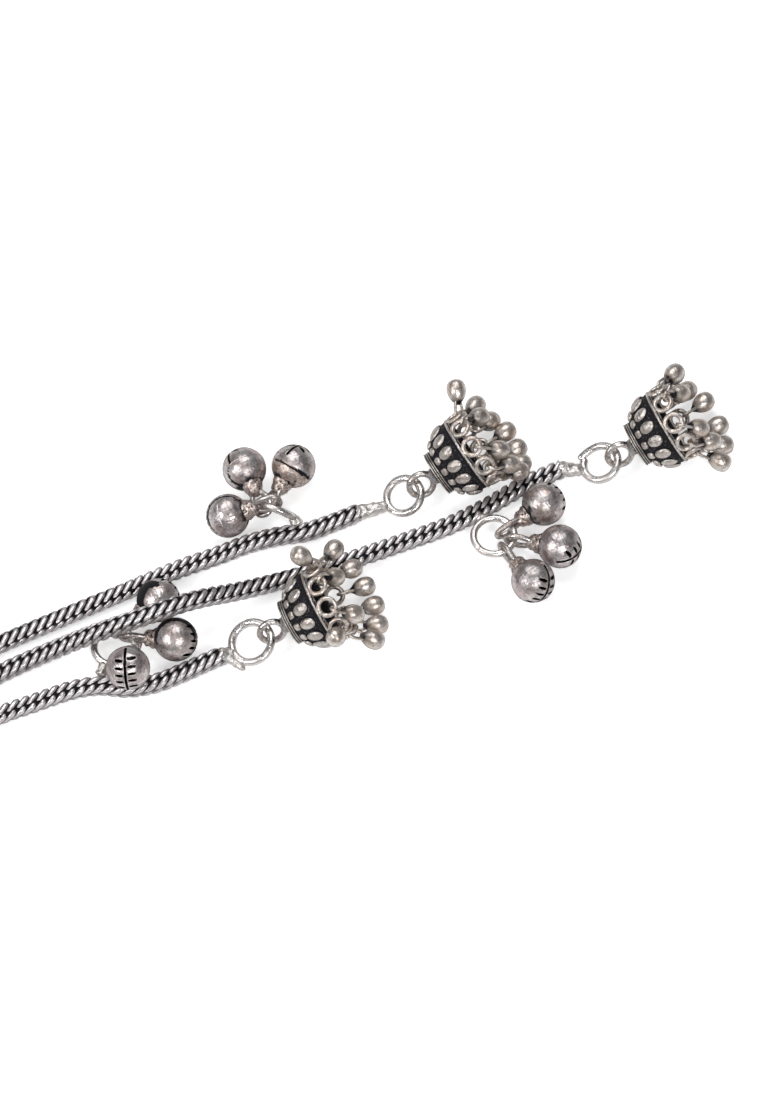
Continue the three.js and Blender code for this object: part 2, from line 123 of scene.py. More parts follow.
# Runs of solder: how far one starts inside the chain and ends in the ring, and its radii.
SOLDER = {
    "upper": {"inside": 0.9, "outside": 0.5, "root": 1.05, "tip": 0.7, "lumps": 0.12},
    "end": {"inside": 0.8, "outside": 0.25, "root": 1.12, "tip": 0.62, "lumps": 0.2},
    "tongue": {"root": 0.75, "tip": 0.4, "lumps": 0.12},
    "side": {"root": 0.75, "tip": 0.68, "lumps": 0.25},
    "dome_eye": {"inside": 1.0, "outside": 0.15, "root": 1.0, "tip": 0.6, "lumps": 0.16},
    "bell": {"from": 2.1, "to": 4.2, "root": 1.5, "tip": 0.75, "lumps": 0.26, "worn": 0.62},
}
SOLDER_LUMPS = {"broad": 1.9, "fine": 5.0, "fine_share": 0.4, "wear": 0.45, "worn": 0.9}
SOLDER_ENDS = {"fullness": 6, "thinnest": 0.05}

# Dome bell, hanging mouth down about its own Y axis, with the rim's middle as its origin. The rim's
# section is in (radius, height, wear), and the neck's in the same above the top of the collar.
DOME = {"radius": 4.85, "wall": 0.45, "rim_drop": 0.25, "collar": 2.75, "ridge": 2.95,
        "ridge_height": 0.75, "crown_drop": 0.3, "ground_from": 5, "ground_rows": 15,
        "ground_wear": 0.17}
COLLAR_HEIGHT = math.sqrt(DOME["radius"] ** 2 - DOME["collar"] ** 2)
DOME_SIDES = 112
INSIDE_LATITUDES = range(55, 0, -8)
RIM_SECTION = [(4.4, -0.25, 0.3), (4.46, -0.28, 0.6), (4.87, -0.28, 0.6), (4.93, -0.21, 0.4),
               (4.93, -0.06, 0.1), (4.91, 0.2, 0), (4.85, 0.4, 0)]
NECK_SECTION = [(2.79, -0.75, 0), (2.79, -0.04, 0), (2.71, 0, 0), (1.7, 0.04, 0), (1.25, 0.1, 0.1),
                (1.06, 0.3, 0.5), (1.0, 0.85, 0.8), (0.01, 0.9, 1)]
DOME_EYE = {"radius": 1.55, "wire": 0.4, "height": 7.0, "cut": 60}
COLLAR_WIRES = {"heights": (0.14, 0.5, 0.86), "wire": 0.085}
RIM_WIRE = {"radius": 4.83, "height": 0.1, "wire": 0.2}
GRAINS_PER_ROW = 14
GRAIN_WEAR = {"from": -0.05, "over": 0.4}
GRAIN_SUNK = 0.02
OVAL_GRAIN = {"latitude": 23, "half_length": 1.1, "half_width": 0.78, "height": 0.44}
SQUARE_GRAIN = {"latitude": 43, "half_side": 0.48, "height": 0.36, "boxiness": 0.55}
RIM_LOOP = {"count": 10, "radius": 1.08, "wire": 0.3, "at": 4.72, "sunk": 0.06}
DOMES = {
    "dome_1": {"at": (13.6, 6.4, 5.2), "heading": 4, "rise": 20, "eye_turn": 35},
    "dome_2": {"at": (38, -0.5, 5.2), "heading": 0, "rise": 20, "eye_turn": 30},
    "dome_3": {"at": (-11.9, -5.6, 5.2), "heading": -4, "rise": 20, "eye_turn": 25},
}

# Drop of the fringe, hanging down its own Y axis from the wire that it is linked on. The bead's cap
# is in (radius, height, wear), and shoulder and base are powers, the lower the fuller. waist is a
# point on each leg, as shares of half_width and legs.
DROP_EYE = {"half_width": 0.6, "wire": 0.2, "legs": 1.9, "waist": (0.75, 0.6), "foot": 0.22,
            "farthest_slide": 48}
BEAD_CAP = [(0.02, -1.05, 0.3), (0.34, -1.12, 0.25), (0.44, -1.35, 0.2)]
DROP_BEAD = {"widest": 3.0, "bottom": 4.3, "radius": 1.22, "shoulder": 0.8, "base": 0.6,
             "cap_wear": 0.3, "wear": 0.85}

# Which way each drop hangs: heading in plan from +X, and dip below level, both in degrees.
DROP_POSES = {
    "dome_1": [(0, 45), (-10, 35), (15, 35), (100, 20), (35, 32), (22, 27), (14, 5), (12, 3),
               (12, 16), (8, 35)],
    "dome_2": [(-10, 52), (-10, 40), (15, 40), (35, 25), (50, 42), (30, 28), (15, 5), (0, 3),
               (-10, 20), (-60, 60)],
    "dome_3": [(212, 5), (-15, 40), (15, 45), (140, 5), (35, 12), (5, 14), (-3, 5), (-5, 3),
               (-10, 18), (-30, 48)],
}

# Round bell, hanging down its own Y axis, with the ball's middle as its origin. Its seam is a
# groove with a lip below it, drawn by extra rows of corners where the even rows are left out. Its
# slots lie across both sides of the slit. flooded is the height on that axis from which solder has
# run over the ball. pole is how near its rows of corners come to the axis, and weld how close two
# corners are when they are joined.
BELL = {"radius": 2.75, "wall": 0.4, "slit": 0.34, "slit_top": -0.3, "cut_past": 0.5,
        "pole": 0.005, "weld": 0.012}
BALL_ROWS, BALL_SIDES = 32, 64
BELL_SEAM = {"at": -0.2, "half_width": 0.05, "depth": 0.03, "lip": 0.02, "lip_width": 0.2,
             "groove": 0.03, "left_out": 0.22,
             "rows": (-0.19, -0.1, -0.05, -0.025, 0, 0.025, 0.05, 0.1, 0.19)}
BELL_SLOT = {"half_length": 0.56, "half_width": 0.18, "out": 0.8, "pitch": 0.88, "per_side": 5,
             "offset": 0.12, "starts": -0.4, "corners": 16}
BELL_EYE = {"half_width": 1.05, "wire": 0.35, "arc_at": 6.0, "straight": 1, "foot": 0.4,
            "foot_at": 3.5}
BELLS = {
    "bell_1_a": {"chain": "chain_1", "at": (-12.2, 17.2, 2.8), "place": -92, "slit_turn": 18},
    "bell_1_b": {"chain": "chain_1", "at": (-6.4, 15, 2.8), "place": -135, "slit_turn": 155,
                 "flooded": 0.5},
    "bell_1_c": {"chain": "chain_1", "at": (-16.8, 12, 2.8), "place": -30, "slit_turn": 45},
    "bell_2_a": {"chain": "chain_2", "at": (19.8, -2.9, 2.8), "place": 8, "slit_turn": 157},
    "bell_2_b": {"chain": "chain_2", "at": (19.1, -9.2, 2.8), "place": -38, "slit_turn": 15},
    "bell_2_c": {"chain": "chain_2", "at": (14, -12.2, 2.8), "place": -82, "slit_turn": 129},
    "bell_3_a": {"chain": "chain_3", "at": (-29.5, 4.7, 2.8), "place": 45, "slit_turn": 165},
    "bell_3_b": {"chain": "chain_3", "at": (-29.8, -1.2, 2.8), "place": 5, "slit_turn": 161},
    "bell_3_c": {"chain": "chain_3", "at": (-37.3, -3.7, 5.5), "place": -45, "slit_turn": 152},
}

# How the balls have aged: dents, clouds of oxide, oxide in the seam and by the neck, and the ragged
# edge of solder that ran over. grain is the size of each noise, the higher the finer.
DENTS = {"depth": 0.008, "grain": 0.6}
CLOUDS = {"grain": 0.42, "from": 0.05, "gain": 1.2, "most": 0.4}
IN_SEAM = {"grain": 0.8, "spread": 0.1, "most": 0.5}
BY_NECK = {"from": 1.7, "over": 0.6, "grain": 1.5, "most": 0.75}
FLOOD_EDGE = {"swing": 0.25, "grain": 1.6}

# Black is painted in an arc on some balls, round a pole; on most of them the pole is the direction
# towards the camera. The pole and the middle of the arc are directions from the ball's middle, as
# (heading, rise); the rest is how far from the pole the arc starts, how wide it is and how far it
# runs to each side. All in degrees.
BLACK_ARCS = {
    "bell_1_a": {"pole": (-115, 60), "middle": (-155, -20), "start": 44, "width": 9, "run": 65},
    "bell_1_b": {"pole": (-148, -24), "middle": (-115, 60), "start": 80, "width": 9, "run": 85},
    "bell_1_c": {"pole": (-115, 60), "middle": (130, 15), "start": 60, "width": 11, "run": 95},
    "bell_3_a": {"pole": (-115, 60), "middle": (135, 10), "start": 40, "width": 45, "run": 75},
    "bell_3_b": {"pole": (-115, 60), "middle": (70, 25), "start": 56, "width": 26, "run": 100},
}
ARC_EDGE = {"ragged": 3.0, "grain": 6, "soft": 3}

# The camera looks down on the earring, turned a little to its upper end.
VIEW = {"heading": -114.6, "rise": 62, "distance": 1200, "width": 97.5, "sensor": 36,
        "clip": (0.05, 10)}

# Studio, in metres and watts.
FLOOR = {"half_side": 1.2, "grey": 0.9, "seen_glow": 0.46, "glow": 0.08}
SKY = {"colour": (0.9, 0.92, 0.95, 1), "strength": 0.16}
LIGHTS = {
    "left": {"heading": -176, "rise": 42, "distance": 0.6, "size": 0.26, "power": 1.5},
    "front": {"heading": -88, "rise": 46, "distance": 0.6, "size": 0.2, "power": 1.2},
    "back": {"heading": 70, "rise": 62, "distance": 0.7, "size": 0.5, "power": 2.2},
}

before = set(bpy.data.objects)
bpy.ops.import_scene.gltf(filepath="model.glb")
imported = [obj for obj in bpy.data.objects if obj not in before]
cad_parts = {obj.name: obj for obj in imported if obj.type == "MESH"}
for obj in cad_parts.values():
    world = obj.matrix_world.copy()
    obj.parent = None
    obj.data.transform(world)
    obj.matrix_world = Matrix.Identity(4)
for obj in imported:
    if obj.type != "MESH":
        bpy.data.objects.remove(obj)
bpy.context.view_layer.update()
ring_low, ring_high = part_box("top_ring")
SHIFT = (ring_low + ring_high) / 2 / MM - Vector(TOP_RING["at"])


# ---- Placing and mesh building ----

def in_metres(matrix):
    """A placing in the drawing's millimetres as one in the frame's metres."""
    placed = matrix.copy()
    placed.translation = (matrix.translation + SHIFT) * MM
    return placed


def direction(heading, rise):
    """The direction at so many degrees round from +X towards +Y and so many above level."""
    around, up = math.radians(heading), math.radians(rise)
    level = math.cos(up)
    return Vector((level * math.cos(around), level * math.sin(around), math.sin(up)))


def frame_matrix(*columns):
    """The matrix with these four vectors, X, Y, Z and the place, as its columns."""
    matrix = Matrix.Identity(4)
    for column, vector in enumerate(columns):
        for row in range(3):
            matrix[row][column] = vector[row]
    return matrix


def axes_frame(up, front_hint, at):
    """The matrix whose Y axis is up and whose Z axis is as near to front_hint as it can be."""
    y = up.normalized()
    z = (front_hint - y * front_hint.dot(y)).normalized()
    return frame_matrix(y.cross(z), y, z, at)


def clamp(value, low=0.0, high=1.0):
    return max(low, min(high, value))


def wall_faces(rows, around, first=0, closed=False):
    """Faces between rows of corners, each row once round, and from last to first if closed."""
    faces = []
    for row in range(rows if closed else rows - 1):
        a, b = first + row * around, first + (row + 1) % rows * around
        for k in range(around):
            n = (k + 1) % around
            faces.append((a + k, a + n, b + n, b + k))
    return faces


def end_faces(rows, around):
    """The two flat ends of rows of corners."""
    return [tuple(range(around)), tuple(range((rows - 1) * around, rows * around))]


def closed_faces(rows, around):
    """Faces of a form that runs from one corner, through rows of corners, to one last corner."""
    last, tip = 1 + (rows - 1) * around, 1 + rows * around
    faces = [(0, 1 + (k + 1) % around, 1 + k) for k in range(around)]
    faces += wall_faces(rows, around, first=1)
    return faces + [(last + k, last + (k + 1) % around, tip) for k in range(around)]


class Form:
    """Corners and faces being gathered for one piece, with a material and a wear value each."""

    def __init__(self):
        self.corners, self.faces, self.materials, self.wear = [], [], [], []

    def add(self, corners, faces, wear=None):
        start = len(self.corners)
        self.corners += [Vector(c) for c in corners]
        self.wear += list(wear) if wear is not None else [1.0] * len(corners)
        self.faces += [tuple(start + i for i in face) for face in faces]
        self.materials += [0] * len(faces)

    def add_form(self, other, matrix=None, material=None):
        corners = [matrix @ c for c in other.corners] if matrix else other.corners
        start = len(self.corners)
        self.corners += corners
        self.wear += other.wear
        self.faces += [tuple(start + i for i in face) for face in other.faces]
        self.materials += [material] * len(other.faces) if material is not None else other.materials

    def mesh(self, name, materials):
        mesh = bpy.data.meshes.new(name)
        mesh.from_pydata([c * MM for c in self.corners], [], self.faces)
        for material in materials:
            mesh.materials.append(material)
        mesh.polygons.foreach_set("material_index", self.materials)
        mesh.polygons.foreach_set("use_smooth", [True] * len(self.faces))
        # The worn value is mostly real wear against oxide; on the chains' near sides it also holds
        # painted light.
        worn = mesh.attributes.new("worn", "FLOAT", "POINT")
        worn.data.foreach_set("value", self.wear)
        shaped = bmesh.new()
        shaped.from_mesh(mesh)
        bmesh.ops.recalc_face_normals(shaped, faces=shaped.faces)
        shaped.to_mesh(mesh)
        shaped.free()
        mesh.update()
        return mesh


def set_down(name, mesh, matrix=None, replaces=()):
    """Lays one finished mesh in the frame as a piece of the earring."""
    piece = bpy.data.objects.new(name, mesh)
    bpy.context.scene.collection.objects.link(piece)
    piece.matrix_world = in_metres(matrix or Matrix.Identity(4))
    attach(piece, "root")
    if replaces:
        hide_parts(*replaces)


def lay(form, name, finishes, replaces=()):
    """Makes one piece of a form that is already where it lies."""
    set_down(name, form.mesh(name, finishes), replaces=replaces)


def smooth_path(points, spacing):
    """Evenly spaced points along a smooth curve through the given ones."""
    given = [Vector(p) for p in points]
    line = [given[0] * 2 - given[1]] + given + [given[-1] * 2 - given[-2]]
    fine = []
    for i in range(1, len(line) - 2):
        p0, p1, p2, p3 = line[i - 1:i + 3]
        t0 = 0.0
        t1 = t0 + math.sqrt((p1 - p0).length)
        t2 = t1 + math.sqrt((p2 - p1).length)
        t3 = t2 + math.sqrt((p3 - p2).length)
        for step in range(STEPS_BETWEEN):
            t = t1 + (t2 - t1) * step / STEPS_BETWEEN
            a1 = p0.lerp(p1, (t - t0) / (t1 - t0))
            a2 = p1.lerp(p2, (t - t1) / (t2 - t1))
            a3 = p2.lerp(p3, (t - t2) / (t3 - t2))
            b1 = a1.lerp(a2, (t - t0) / (t2 - t0))
            b2 = a2.lerp(a3, (t - t1) / (t3 - t1))
            fine.append(b1.lerp(b2, (t - t1) / (t2 - t1)))
    fine.append(given[-1])
    reach = [0.0]
    for a, b in zip(fine, fine[1:]):
        reach.append(reach[-1] + (b - a).length)
    count = max(2, round(reach[-1] / spacing) + 1)
    path, j = [], 0
    for i in range(count):
        at = reach[-1] * i / (count - 1)
        while j < len(reach) - 2 and reach[j + 1] < at:
            j += 1
        span = max(reach[j + 1] - reach[j], 1e-9)
        path.append(fine[j].lerp(fine[j + 1], min(1.0, (at - reach[j]) / span)))
    return path, reach[-1]


def tangents(path):
    ahead = [path[min(i + 1, len(path) - 1)] - path[max(i - 1, 0)] for i in range(len(path))]
    return [a.normalized() for a in ahead]


def wire_form(path, radius, sides=12, closed=False):
    """Round wire along a path, with rounded ends where it isn't closed."""
    along = tangents(path)
    if closed:
        count = len(path)
        along = [(path[(i + 1) % count] - path[i - 1]).normalized() for i in range(count)]
    hint = UP if abs(along[0].dot(UP)) < NEARLY_ALONG else Vector((1, 0, 0))
    side = (hint - along[0] * hint.dot(along[0])).normalized()
    rings, scales = list(zip(path, along)), [1.0] * len(path)
    if not closed:
        first, last = rings[0], rings[-1]
        for out, size in WIRE_END["rounding"]:
            reach = radius * out * WIRE_END["length"]
            rings.insert(0, (first[0] - first[1] * reach, first[1]))
            scales.insert(0, size)
            rings.append((last[0] + last[1] * reach, last[1]))
            scales.append(size)
    corners = []
    for (middle, forward), scale in zip(rings, scales):
        side = (side - forward * side.dot(forward)).normalized()
        other = forward.cross(side)
        for k in range(sides):
            angle = 2 * math.pi * k / sides
            spoke = side * math.cos(angle) + other * math.sin(angle)
            corners.append(middle + spoke * (radius * scale))
    faces = wall_faces(len(rings), sides, closed=closed)
    if not closed:
        faces += end_faces(len(rings), sides)
    form = Form()
    form.add(corners, faces)
    return form


def ring_form(middle, normal, radius, thick, cut=None, sprung=0.0, sides=12, steps=56):
    """A ring of round wire. With a cut, its ends stand a hair apart, and one may spring out."""
    axis = normal.normalized()
    hint = Vector((1, 0, 0)) if abs(axis.x) < NEARLY_ALONG else Vector((0, 1, 0))
    first = (hint - axis * hint.dot(axis)).normalized()
    second = axis.cross(first)
    open_angle = 0 if cut is None else RING_CUT["gap"] / radius
    turn = 2 * math.pi - open_angle
    path = []
    for i in range(steps if cut is None else steps + 1):
        share = i / steps
        angle = math.radians(cut or 0) + open_angle / 2 + turn * share
        from_middle = 2 * share - 1
        offset = 0 if cut is None else RING_CUT["offset"] * thick
        lift = offset * from_middle * abs(from_middle) ** 3
        past = max(0.0, (share - RING_CUT["springs_from"]) / (1 - RING_CUT["springs_from"]))
        spoke = first * math.cos(angle) + second * math.sin(angle)
        path.append(middle + spoke * (radius + sprung * past ** 2) + axis * lift)
    return wire_form(path, thick, sides, closed=cut is None)


def lathe_form(section, sides):
    """A turned form about its own Y axis, from (radius, height, wear) around its section."""
    corners, worn = [], []
    for radius, height, wear in section:
        for k in range(sides):
            angle = 2 * math.pi * k / sides
            corners.append((radius * math.sin(angle), height, radius * math.cos(angle)))
            worn.append(wear)
    form = Form()
    form.add(corners, wall_faces(len(section), sides), wear=worn)
    return form


def pill_form(half_sizes, around=14, along=10, boxiness=1.0):
    """A rounded grain: half sizes along X, Y and Z. boxiness under 1 makes it squarer."""
    rx, ry, rz = half_sizes

    def soften(value):
        return math.copysign(abs(value) ** boxiness, value)

    corners, worn = [(0, 0, -rz)], [0.0]
    for j in range(1, along):
        polar = math.pi * j / along
        level, out = soften(-math.cos(polar)), soften(math.sin(polar))
        for k in range(around):
            angle = 2 * math.pi * k / around
            corners.append((rx * out * soften(math.cos(angle)), ry * out * soften(math.sin(angle)),
                            rz * level))
            worn.append(clamp((level - GRAIN_WEAR["from"]) / GRAIN_WEAR["over"]))
    corners.append((0, 0, rz))
    worn.append(1.0)
    form = Form()
    form.add(corners, closed_faces(along - 1, around), wear=worn)
    return form


def solder_form(start, end, run, sides=24, steps=16):
    """A lumpy run of solder between two points, rounded at both ends, its dips less worn."""
    axis = (end - start).normalized()
    side = axis.orthogonal().normalized()
    other = axis.cross(side)
    length, lumps, worn = (end - start).length, run["lumps"], run.get("worn", SOLDER_LUMPS["worn"])
    corners, wear = [], []
    for j in range(steps + 1):
        share = j / steps
        round_end = math.sqrt(max(0.0, 1 - (2 * share - 1) ** SOLDER_ENDS["fullness"]))
        radius = run["root"] + (run["tip"] - run["root"]) * share
        radius *= max(round_end, SOLDER_ENDS["thinnest"])
        for k in range(sides):
            angle = 2 * math.pi * k / sides
            spoke = side * math.cos(angle) + other * math.sin(angle)
            corner = start + axis * length * share + spoke * radius
            rough = noise.noise(corner * SOLDER_LUMPS["broad"]) * lumps
            rough += noise.noise(corner * SOLDER_LUMPS["fine"]) * lumps * SOLDER_LUMPS["fine_share"]
            corners.append(corner + spoke * rough)
            wear.append(clamp(worn + SOLDER_LUMPS["wear"] * rough / lumps))
    form = Form()
    form.add(corners, wall_faces(steps + 1, sides) + end_faces(steps + 1, sides), wear=wear)
    return form


def hairpin_form(side, top, across, wire, spacing, sides):
    """Wire bent back on itself. side is its path up one side, as (out, height), top its highest."""
    points = [BELL_AXIS * height - across * out for out, height in side] + [BELL_AXIS * top]
    points += [BELL_AXIS * height + across * out for out, height in reversed(side)]
    path, _ = smooth_path(points, spacing)
    return wire_form(path, wire, sides)


# ---- Finishes ----

# Where each mask or line starts and is full, on the noise that it is drawn from.
OXIDE_EDGE = (0.2, 0.75)
BROAD_CLOUDS, FINE_CLOUDS = (0.4, 0.68), (0.45, 0.75)
SCRATCH_LINES = (0.52, 0.66)
TURNED_AWAY = (0.55, 1.0)
FINE_CLOUD_SIZE, FINE_CLOUD_SHARE = 2.7, 0.6

# The two sets of scratches that cross, as (turn, stretch).
SCRATCH_SETS = (((0.4, 0.3, 0.9), (0.08, 1.0, 1.0)), ((-0.7, 0.5, -0.4), (1.0, 0.1, 0.9)))

BLACK_OXIDE = (0.012, 0.011, 0.014)
OXIDE_ROUGHNESS, OXIDE_METALLIC = 0.6, 0.2
# Painted shade for the edges that turn away from the view.
PAINTED_EDGE_SHADE = (0.05, 0.045, 0.05, 1)
METAL_SPECULAR = 0.15

# How much the clouds polish and dull a finish that has no oxide.
POLISHED, DULLED = -0.08, 0.12


def new_group(name, given, results):
    """A shader node group with named inputs and outputs, and the sockets inside it."""
    group = bpy.data.node_groups.new(name, "ShaderNodeTree")
    for label, value in given.items():
        kind = "NodeSocketColor" if isinstance(value, tuple) else "NodeSocketFloat"
        made = group.interface.new_socket(name=label, in_out="INPUT", socket_type=kind)
        made.default_value = value
    for label in results:
        kind = "NodeSocketColor" if label == "Color" else "NodeSocketFloat"
        group.interface.new_socket(name=label, in_out="OUTPUT", socket_type=kind)
    inside = group.nodes.new("NodeGroupInput").outputs
    return group, inside, group.nodes.new("NodeGroupOutput").inputs


def put(tree, value, target):
    """Sets a socket to a plain value, or links it to another socket."""
    if isinstance(value, (int, float, tuple)):
        target.default_value = value
    else:
        tree.links.new(value, target)


def math_node(tree, operation, *values):
    node = tree.nodes.new("ShaderNodeMath")
    node.operation = operation
    for index, value in enumerate(values):
        put(tree, value, node.inputs[index])
    return node.outputs[0]


def times(tree, first, second):
    return math_node(tree, "MULTIPLY", first, second)


def plus(tree, first, second):
    return math_node(tree, "ADD", first, second)


def mix_colour(tree, share, first, second):
    node = tree.nodes.new("ShaderNodeMix")
    node.data_type = "RGBA"
    factor, colour_a, colour_b = (node.inputs[index] for index in (0, 6, 7))
    put(tree, share, factor)
    put(tree, first, colour_a)
    put(tree, second, colour_b)
    return node.outputs[2]


def place_in_mm(tree):
    """The surface point in millimetres."""
    geometry = tree.nodes.new("ShaderNodeNewGeometry")
    scale = tree.nodes.new("ShaderNodeVectorMath")
    scale.operation = "SCALE"
    put(tree, geometry.outputs["Position"], scale.inputs[0])
    put(tree, 1 / MM, scale.inputs["Scale"])
    return scale.outputs[0]


def noise_node(tree, vector, scale, detail=3.0, roughness=0.6):
    node = tree.nodes.new("ShaderNodeTexNoise")
    for name, value in (("Vector", vector), ("Scale", scale), ("Detail", detail),
                        ("Roughness", roughness)):
        put(tree, value, node.inputs[name])
    return node.outputs[0]


def smooth_step(tree, value, edges):
    node = tree.nodes.new("ShaderNodeMapRange")
    node.interpolation_type = "SMOOTHSTEP"
    for index, number in enumerate((value, *edges)):
        put(tree, number, node.inputs[index])
    return node.outputs[0]


def oxide_group():
    """Black oxide that is left in the recesses and worn off the high places."""
    group, given, result = new_group(
        "oxide and wear",
        {"Silver": (0.7, 0.68, 0.67, 1), "Oxide": (*BLACK_OXIDE, 1), "Worn": 1.0,
         "Patchiness": 0.4, "Grain": 1.5},
        ("Color", "Mask"))
    cloud = noise_node(group, place_in_mm(group), given["Grain"], detail=4.0)
    swing = times(group, math_node(group, "SUBTRACT", cloud, 0.5), given["Patchiness"])
    mask = smooth_step(group, plus(group, given["Worn"], swing), OXIDE_EDGE)
    put(group, mix_colour(group, mask, given["Oxide"], given["Silver"]), result["Color"])
    put(group, mask, result["Mask"])
    return group


def tarnish_group():
    """Soft clouds of a warmer or darker tarnish over the metal's colour."""
    group, given, result = new_group(
        "tarnish clouds",
        {"Metal": (0.7, 0.68, 0.67, 1), "Warm": (0.5, 0.36, 0.3, 1), "Cool": (0.35, 0.33, 0.4, 1),
         "Amount": 0.6, "Size": 0.5},
        ("Color", "Cloud"))
    place = place_in_mm(group)
    broad = smooth_step(group, noise_node(group, place, given["Size"]), BROAD_CLOUDS)
    small = times(group, given["Size"], FINE_CLOUD_SIZE)
    fine = smooth_step(group, noise_node(group, place, small, detail=4.0), FINE_CLOUDS)
    warmed = mix_colour(group, times(group, broad, given["Amount"]), given["Metal"], given["Warm"])
    cool_share = times(group, fine, times(group, given["Amount"], FINE_CLOUD_SHARE))
    put(group, mix_colour(group, cool_share, warmed, given["Cool"]), result["Color"])
    put(group, broad, result["Cloud"])
    return group


def scratch_group():
    """Fine brushed scratches in two crossing directions, with a little grain between them."""
    group, given, result = new_group("fine scratches", {"Fineness": 9.0}, ("Height",))
    place = place_in_mm(group)
    sets = []
    for turn, stretch in SCRATCH_SETS:
        mapping = group.nodes.new("ShaderNodeMapping")
        put(group, place, mapping.inputs["Vector"])
        put(group, turn, mapping.inputs["Rotation"])
        put(group, stretch, mapping.inputs["Scale"])
        sets.append(noise_node(group, mapping.outputs[0], given["Fineness"], detail=2.0,
                               roughness=0.5))
    put(group, math_node(group, "MAXIMUM", *sets), result["Height"])
    return group


OXIDE, TARNISH, SCRATCHES = oxide_group(), tarnish_group(), scratch_group()


def use_group(tree, group, **values):
    node = tree.nodes.new("ShaderNodeGroup")
    node.node_tree = group
    for name, value in values.items():
        put(tree, value, node.inputs[name])
    return node.outputs


def silver(name, metal, warm, cool, tarnish, cloud_size, rough, oxide=None, patchiness=0.4,
           grain=1.6, fineness=9.0, scratch=0.02, lumps=0.0, lump_size=3.0, edge=0.0,
           scratch_tone=0.0):
    """Tarnished silver. With an oxide colour, it turns to that where the worn value is low.

    edge is how far painted shade darkens it where it turns away from the view, standing in for dark
    surroundings seen in its edges, and scratch_tone how dark its scratches are.
    """
    material = bpy.data.materials.new(name)
    material.use_nodes = True
    tree = material.node_tree
    shader = tree.nodes["Principled BSDF"].inputs
    put(tree, 1.0, shader["Metallic"])
    put(tree, METAL_SPECULAR, shader["Specular IOR Level"])
    clouds = use_group(tree, TARNISH, Metal=(*metal, 1), Warm=(*warm, 1), Cool=(*cool, 1),
                       Amount=tarnish, Size=cloud_size)
    colour = clouds["Color"]
    height = use_group(tree, SCRATCHES, Fineness=fineness)["Height"]
    if scratch_tone:
        lines = times(tree, smooth_step(tree, height, SCRATCH_LINES), scratch_tone)
        colour = mix_colour(tree, lines, colour, (*cool, 1))
    if edge:
        # Painted shade: darker where the surface turns away from the view.
        turned = tree.nodes.new("ShaderNodeLayerWeight").outputs["Facing"]
        rim = times(tree, smooth_step(tree, turned, TURNED_AWAY), edge)
        colour = mix_colour(tree, rim, colour, PAINTED_EDGE_SHADE)
    if oxide:
        wear = tree.nodes.new("ShaderNodeAttribute")
        wear.attribute_name = "worn"
        worn = use_group(tree, OXIDE, Silver=colour, Oxide=(*oxide, 1), Worn=wear.outputs["Fac"],
                         Patchiness=patchiness, Grain=grain)
        colour, mask = worn["Color"], worn["Mask"]
        rough_value = plus(tree, times(tree, mask, rough - OXIDE_ROUGHNESS), OXIDE_ROUGHNESS)
        bare = plus(tree, times(tree, mask, 1 - OXIDE_METALLIC), OXIDE_METALLIC)
        put(tree, bare, shader["Metallic"])
    else:
        roughness = tree.nodes.new("ShaderNodeMapRange")
        put(tree, clouds["Cloud"], roughness.inputs["Value"])
        put(tree, rough + POLISHED, roughness.inputs["To Min"])
        put(tree, rough + DULLED, roughness.inputs["To Max"])
        rough_value = roughness.outputs[0]
    put(tree, colour, shader["Base Color"])
    put(tree, rough_value, shader["Roughness"])
    if lumps:
        lump = noise_node(tree, place_in_mm(tree), lump_size)
        height = plus(tree, height, times(tree, lump, lumps))
    bump = tree.nodes.new("ShaderNodeBump")
    put(tree, 1.0, bump.inputs["Strength"])
    put(tree, scratch * MM, bump.inputs["Distance"])
    put(tree, height, bump.inputs["Height"])
    put(tree, bump.outputs[0], shader["Normal"])
    return material


chain_finish = silver(
    "worn chain silver", metal=(0.79, 0.76, 0.76), warm=(0.68, 0.6, 0.61), cool=(0.52, 0.5, 0.52),
    tarnish=0.6, cloud_size=0.5, rough=0.4, oxide=BLACK_OXIDE, patchiness=0.35, fineness=4.5,
    scratch=0.05, scratch_tone=0.5)
ring_finish = silver(
    "satin ring silver", metal=(0.86, 0.83, 0.81), warm=(0.72, 0.64, 0.6), cool=(0.6, 0.58, 0.58),
    tarnish=0.7, cloud_size=0.7, rough=0.33, fineness=5.0, scratch=0.04, edge=0.9,
    scratch_tone=0.4)
solder_finish = silver(
    "grainy solder", metal=(0.78, 0.75, 0.72), warm=(0.55, 0.5, 0.46), cool=(0.35, 0.34, 0.34),
    tarnish=0.7, cloud_size=1.6, rough=0.38, oxide=BLACK_OXIDE, patchiness=0.3, scratch=0.03,
    lumps=2.5, lump_size=3.5)
ground_finish = silver(
    "oxidised dome ground", metal=(0.55, 0.53, 0.53), warm=(0.36, 0.32, 0.31),
    cool=(0.2, 0.2, 0.22), tarnish=0.5, cloud_size=0.8, rough=0.34, oxide=BLACK_OXIDE,
    patchiness=1.3, grain=4.5, scratch=0.05, lumps=3.0, lump_size=2.5)
grain_finish = silver(
    "worn dome grains", metal=(0.7, 0.65, 0.61), warm=(0.5, 0.42, 0.37), cool=(0.36, 0.33, 0.32),
    tarnish=0.8, cloud_size=0.9, rough=0.32, oxide=BLACK_OXIDE, patchiness=0.4, grain=3.0,
    fineness=4.0, scratch=0.07, lumps=1.0, lump_size=4.5, edge=0.6, scratch_tone=0.55)
drop_finish = silver(
    "fringe silver", metal=(0.8, 0.74, 0.68), warm=(0.68, 0.55, 0.45), cool=(0.44, 0.39, 0.38),
    tarnish=0.9, cloud_size=0.8, rough=0.38, oxide=BLACK_OXIDE, patchiness=0.9, grain=0.9,
    fineness=4.0, scratch=0.08, edge=0.85, scratch_tone=0.75)
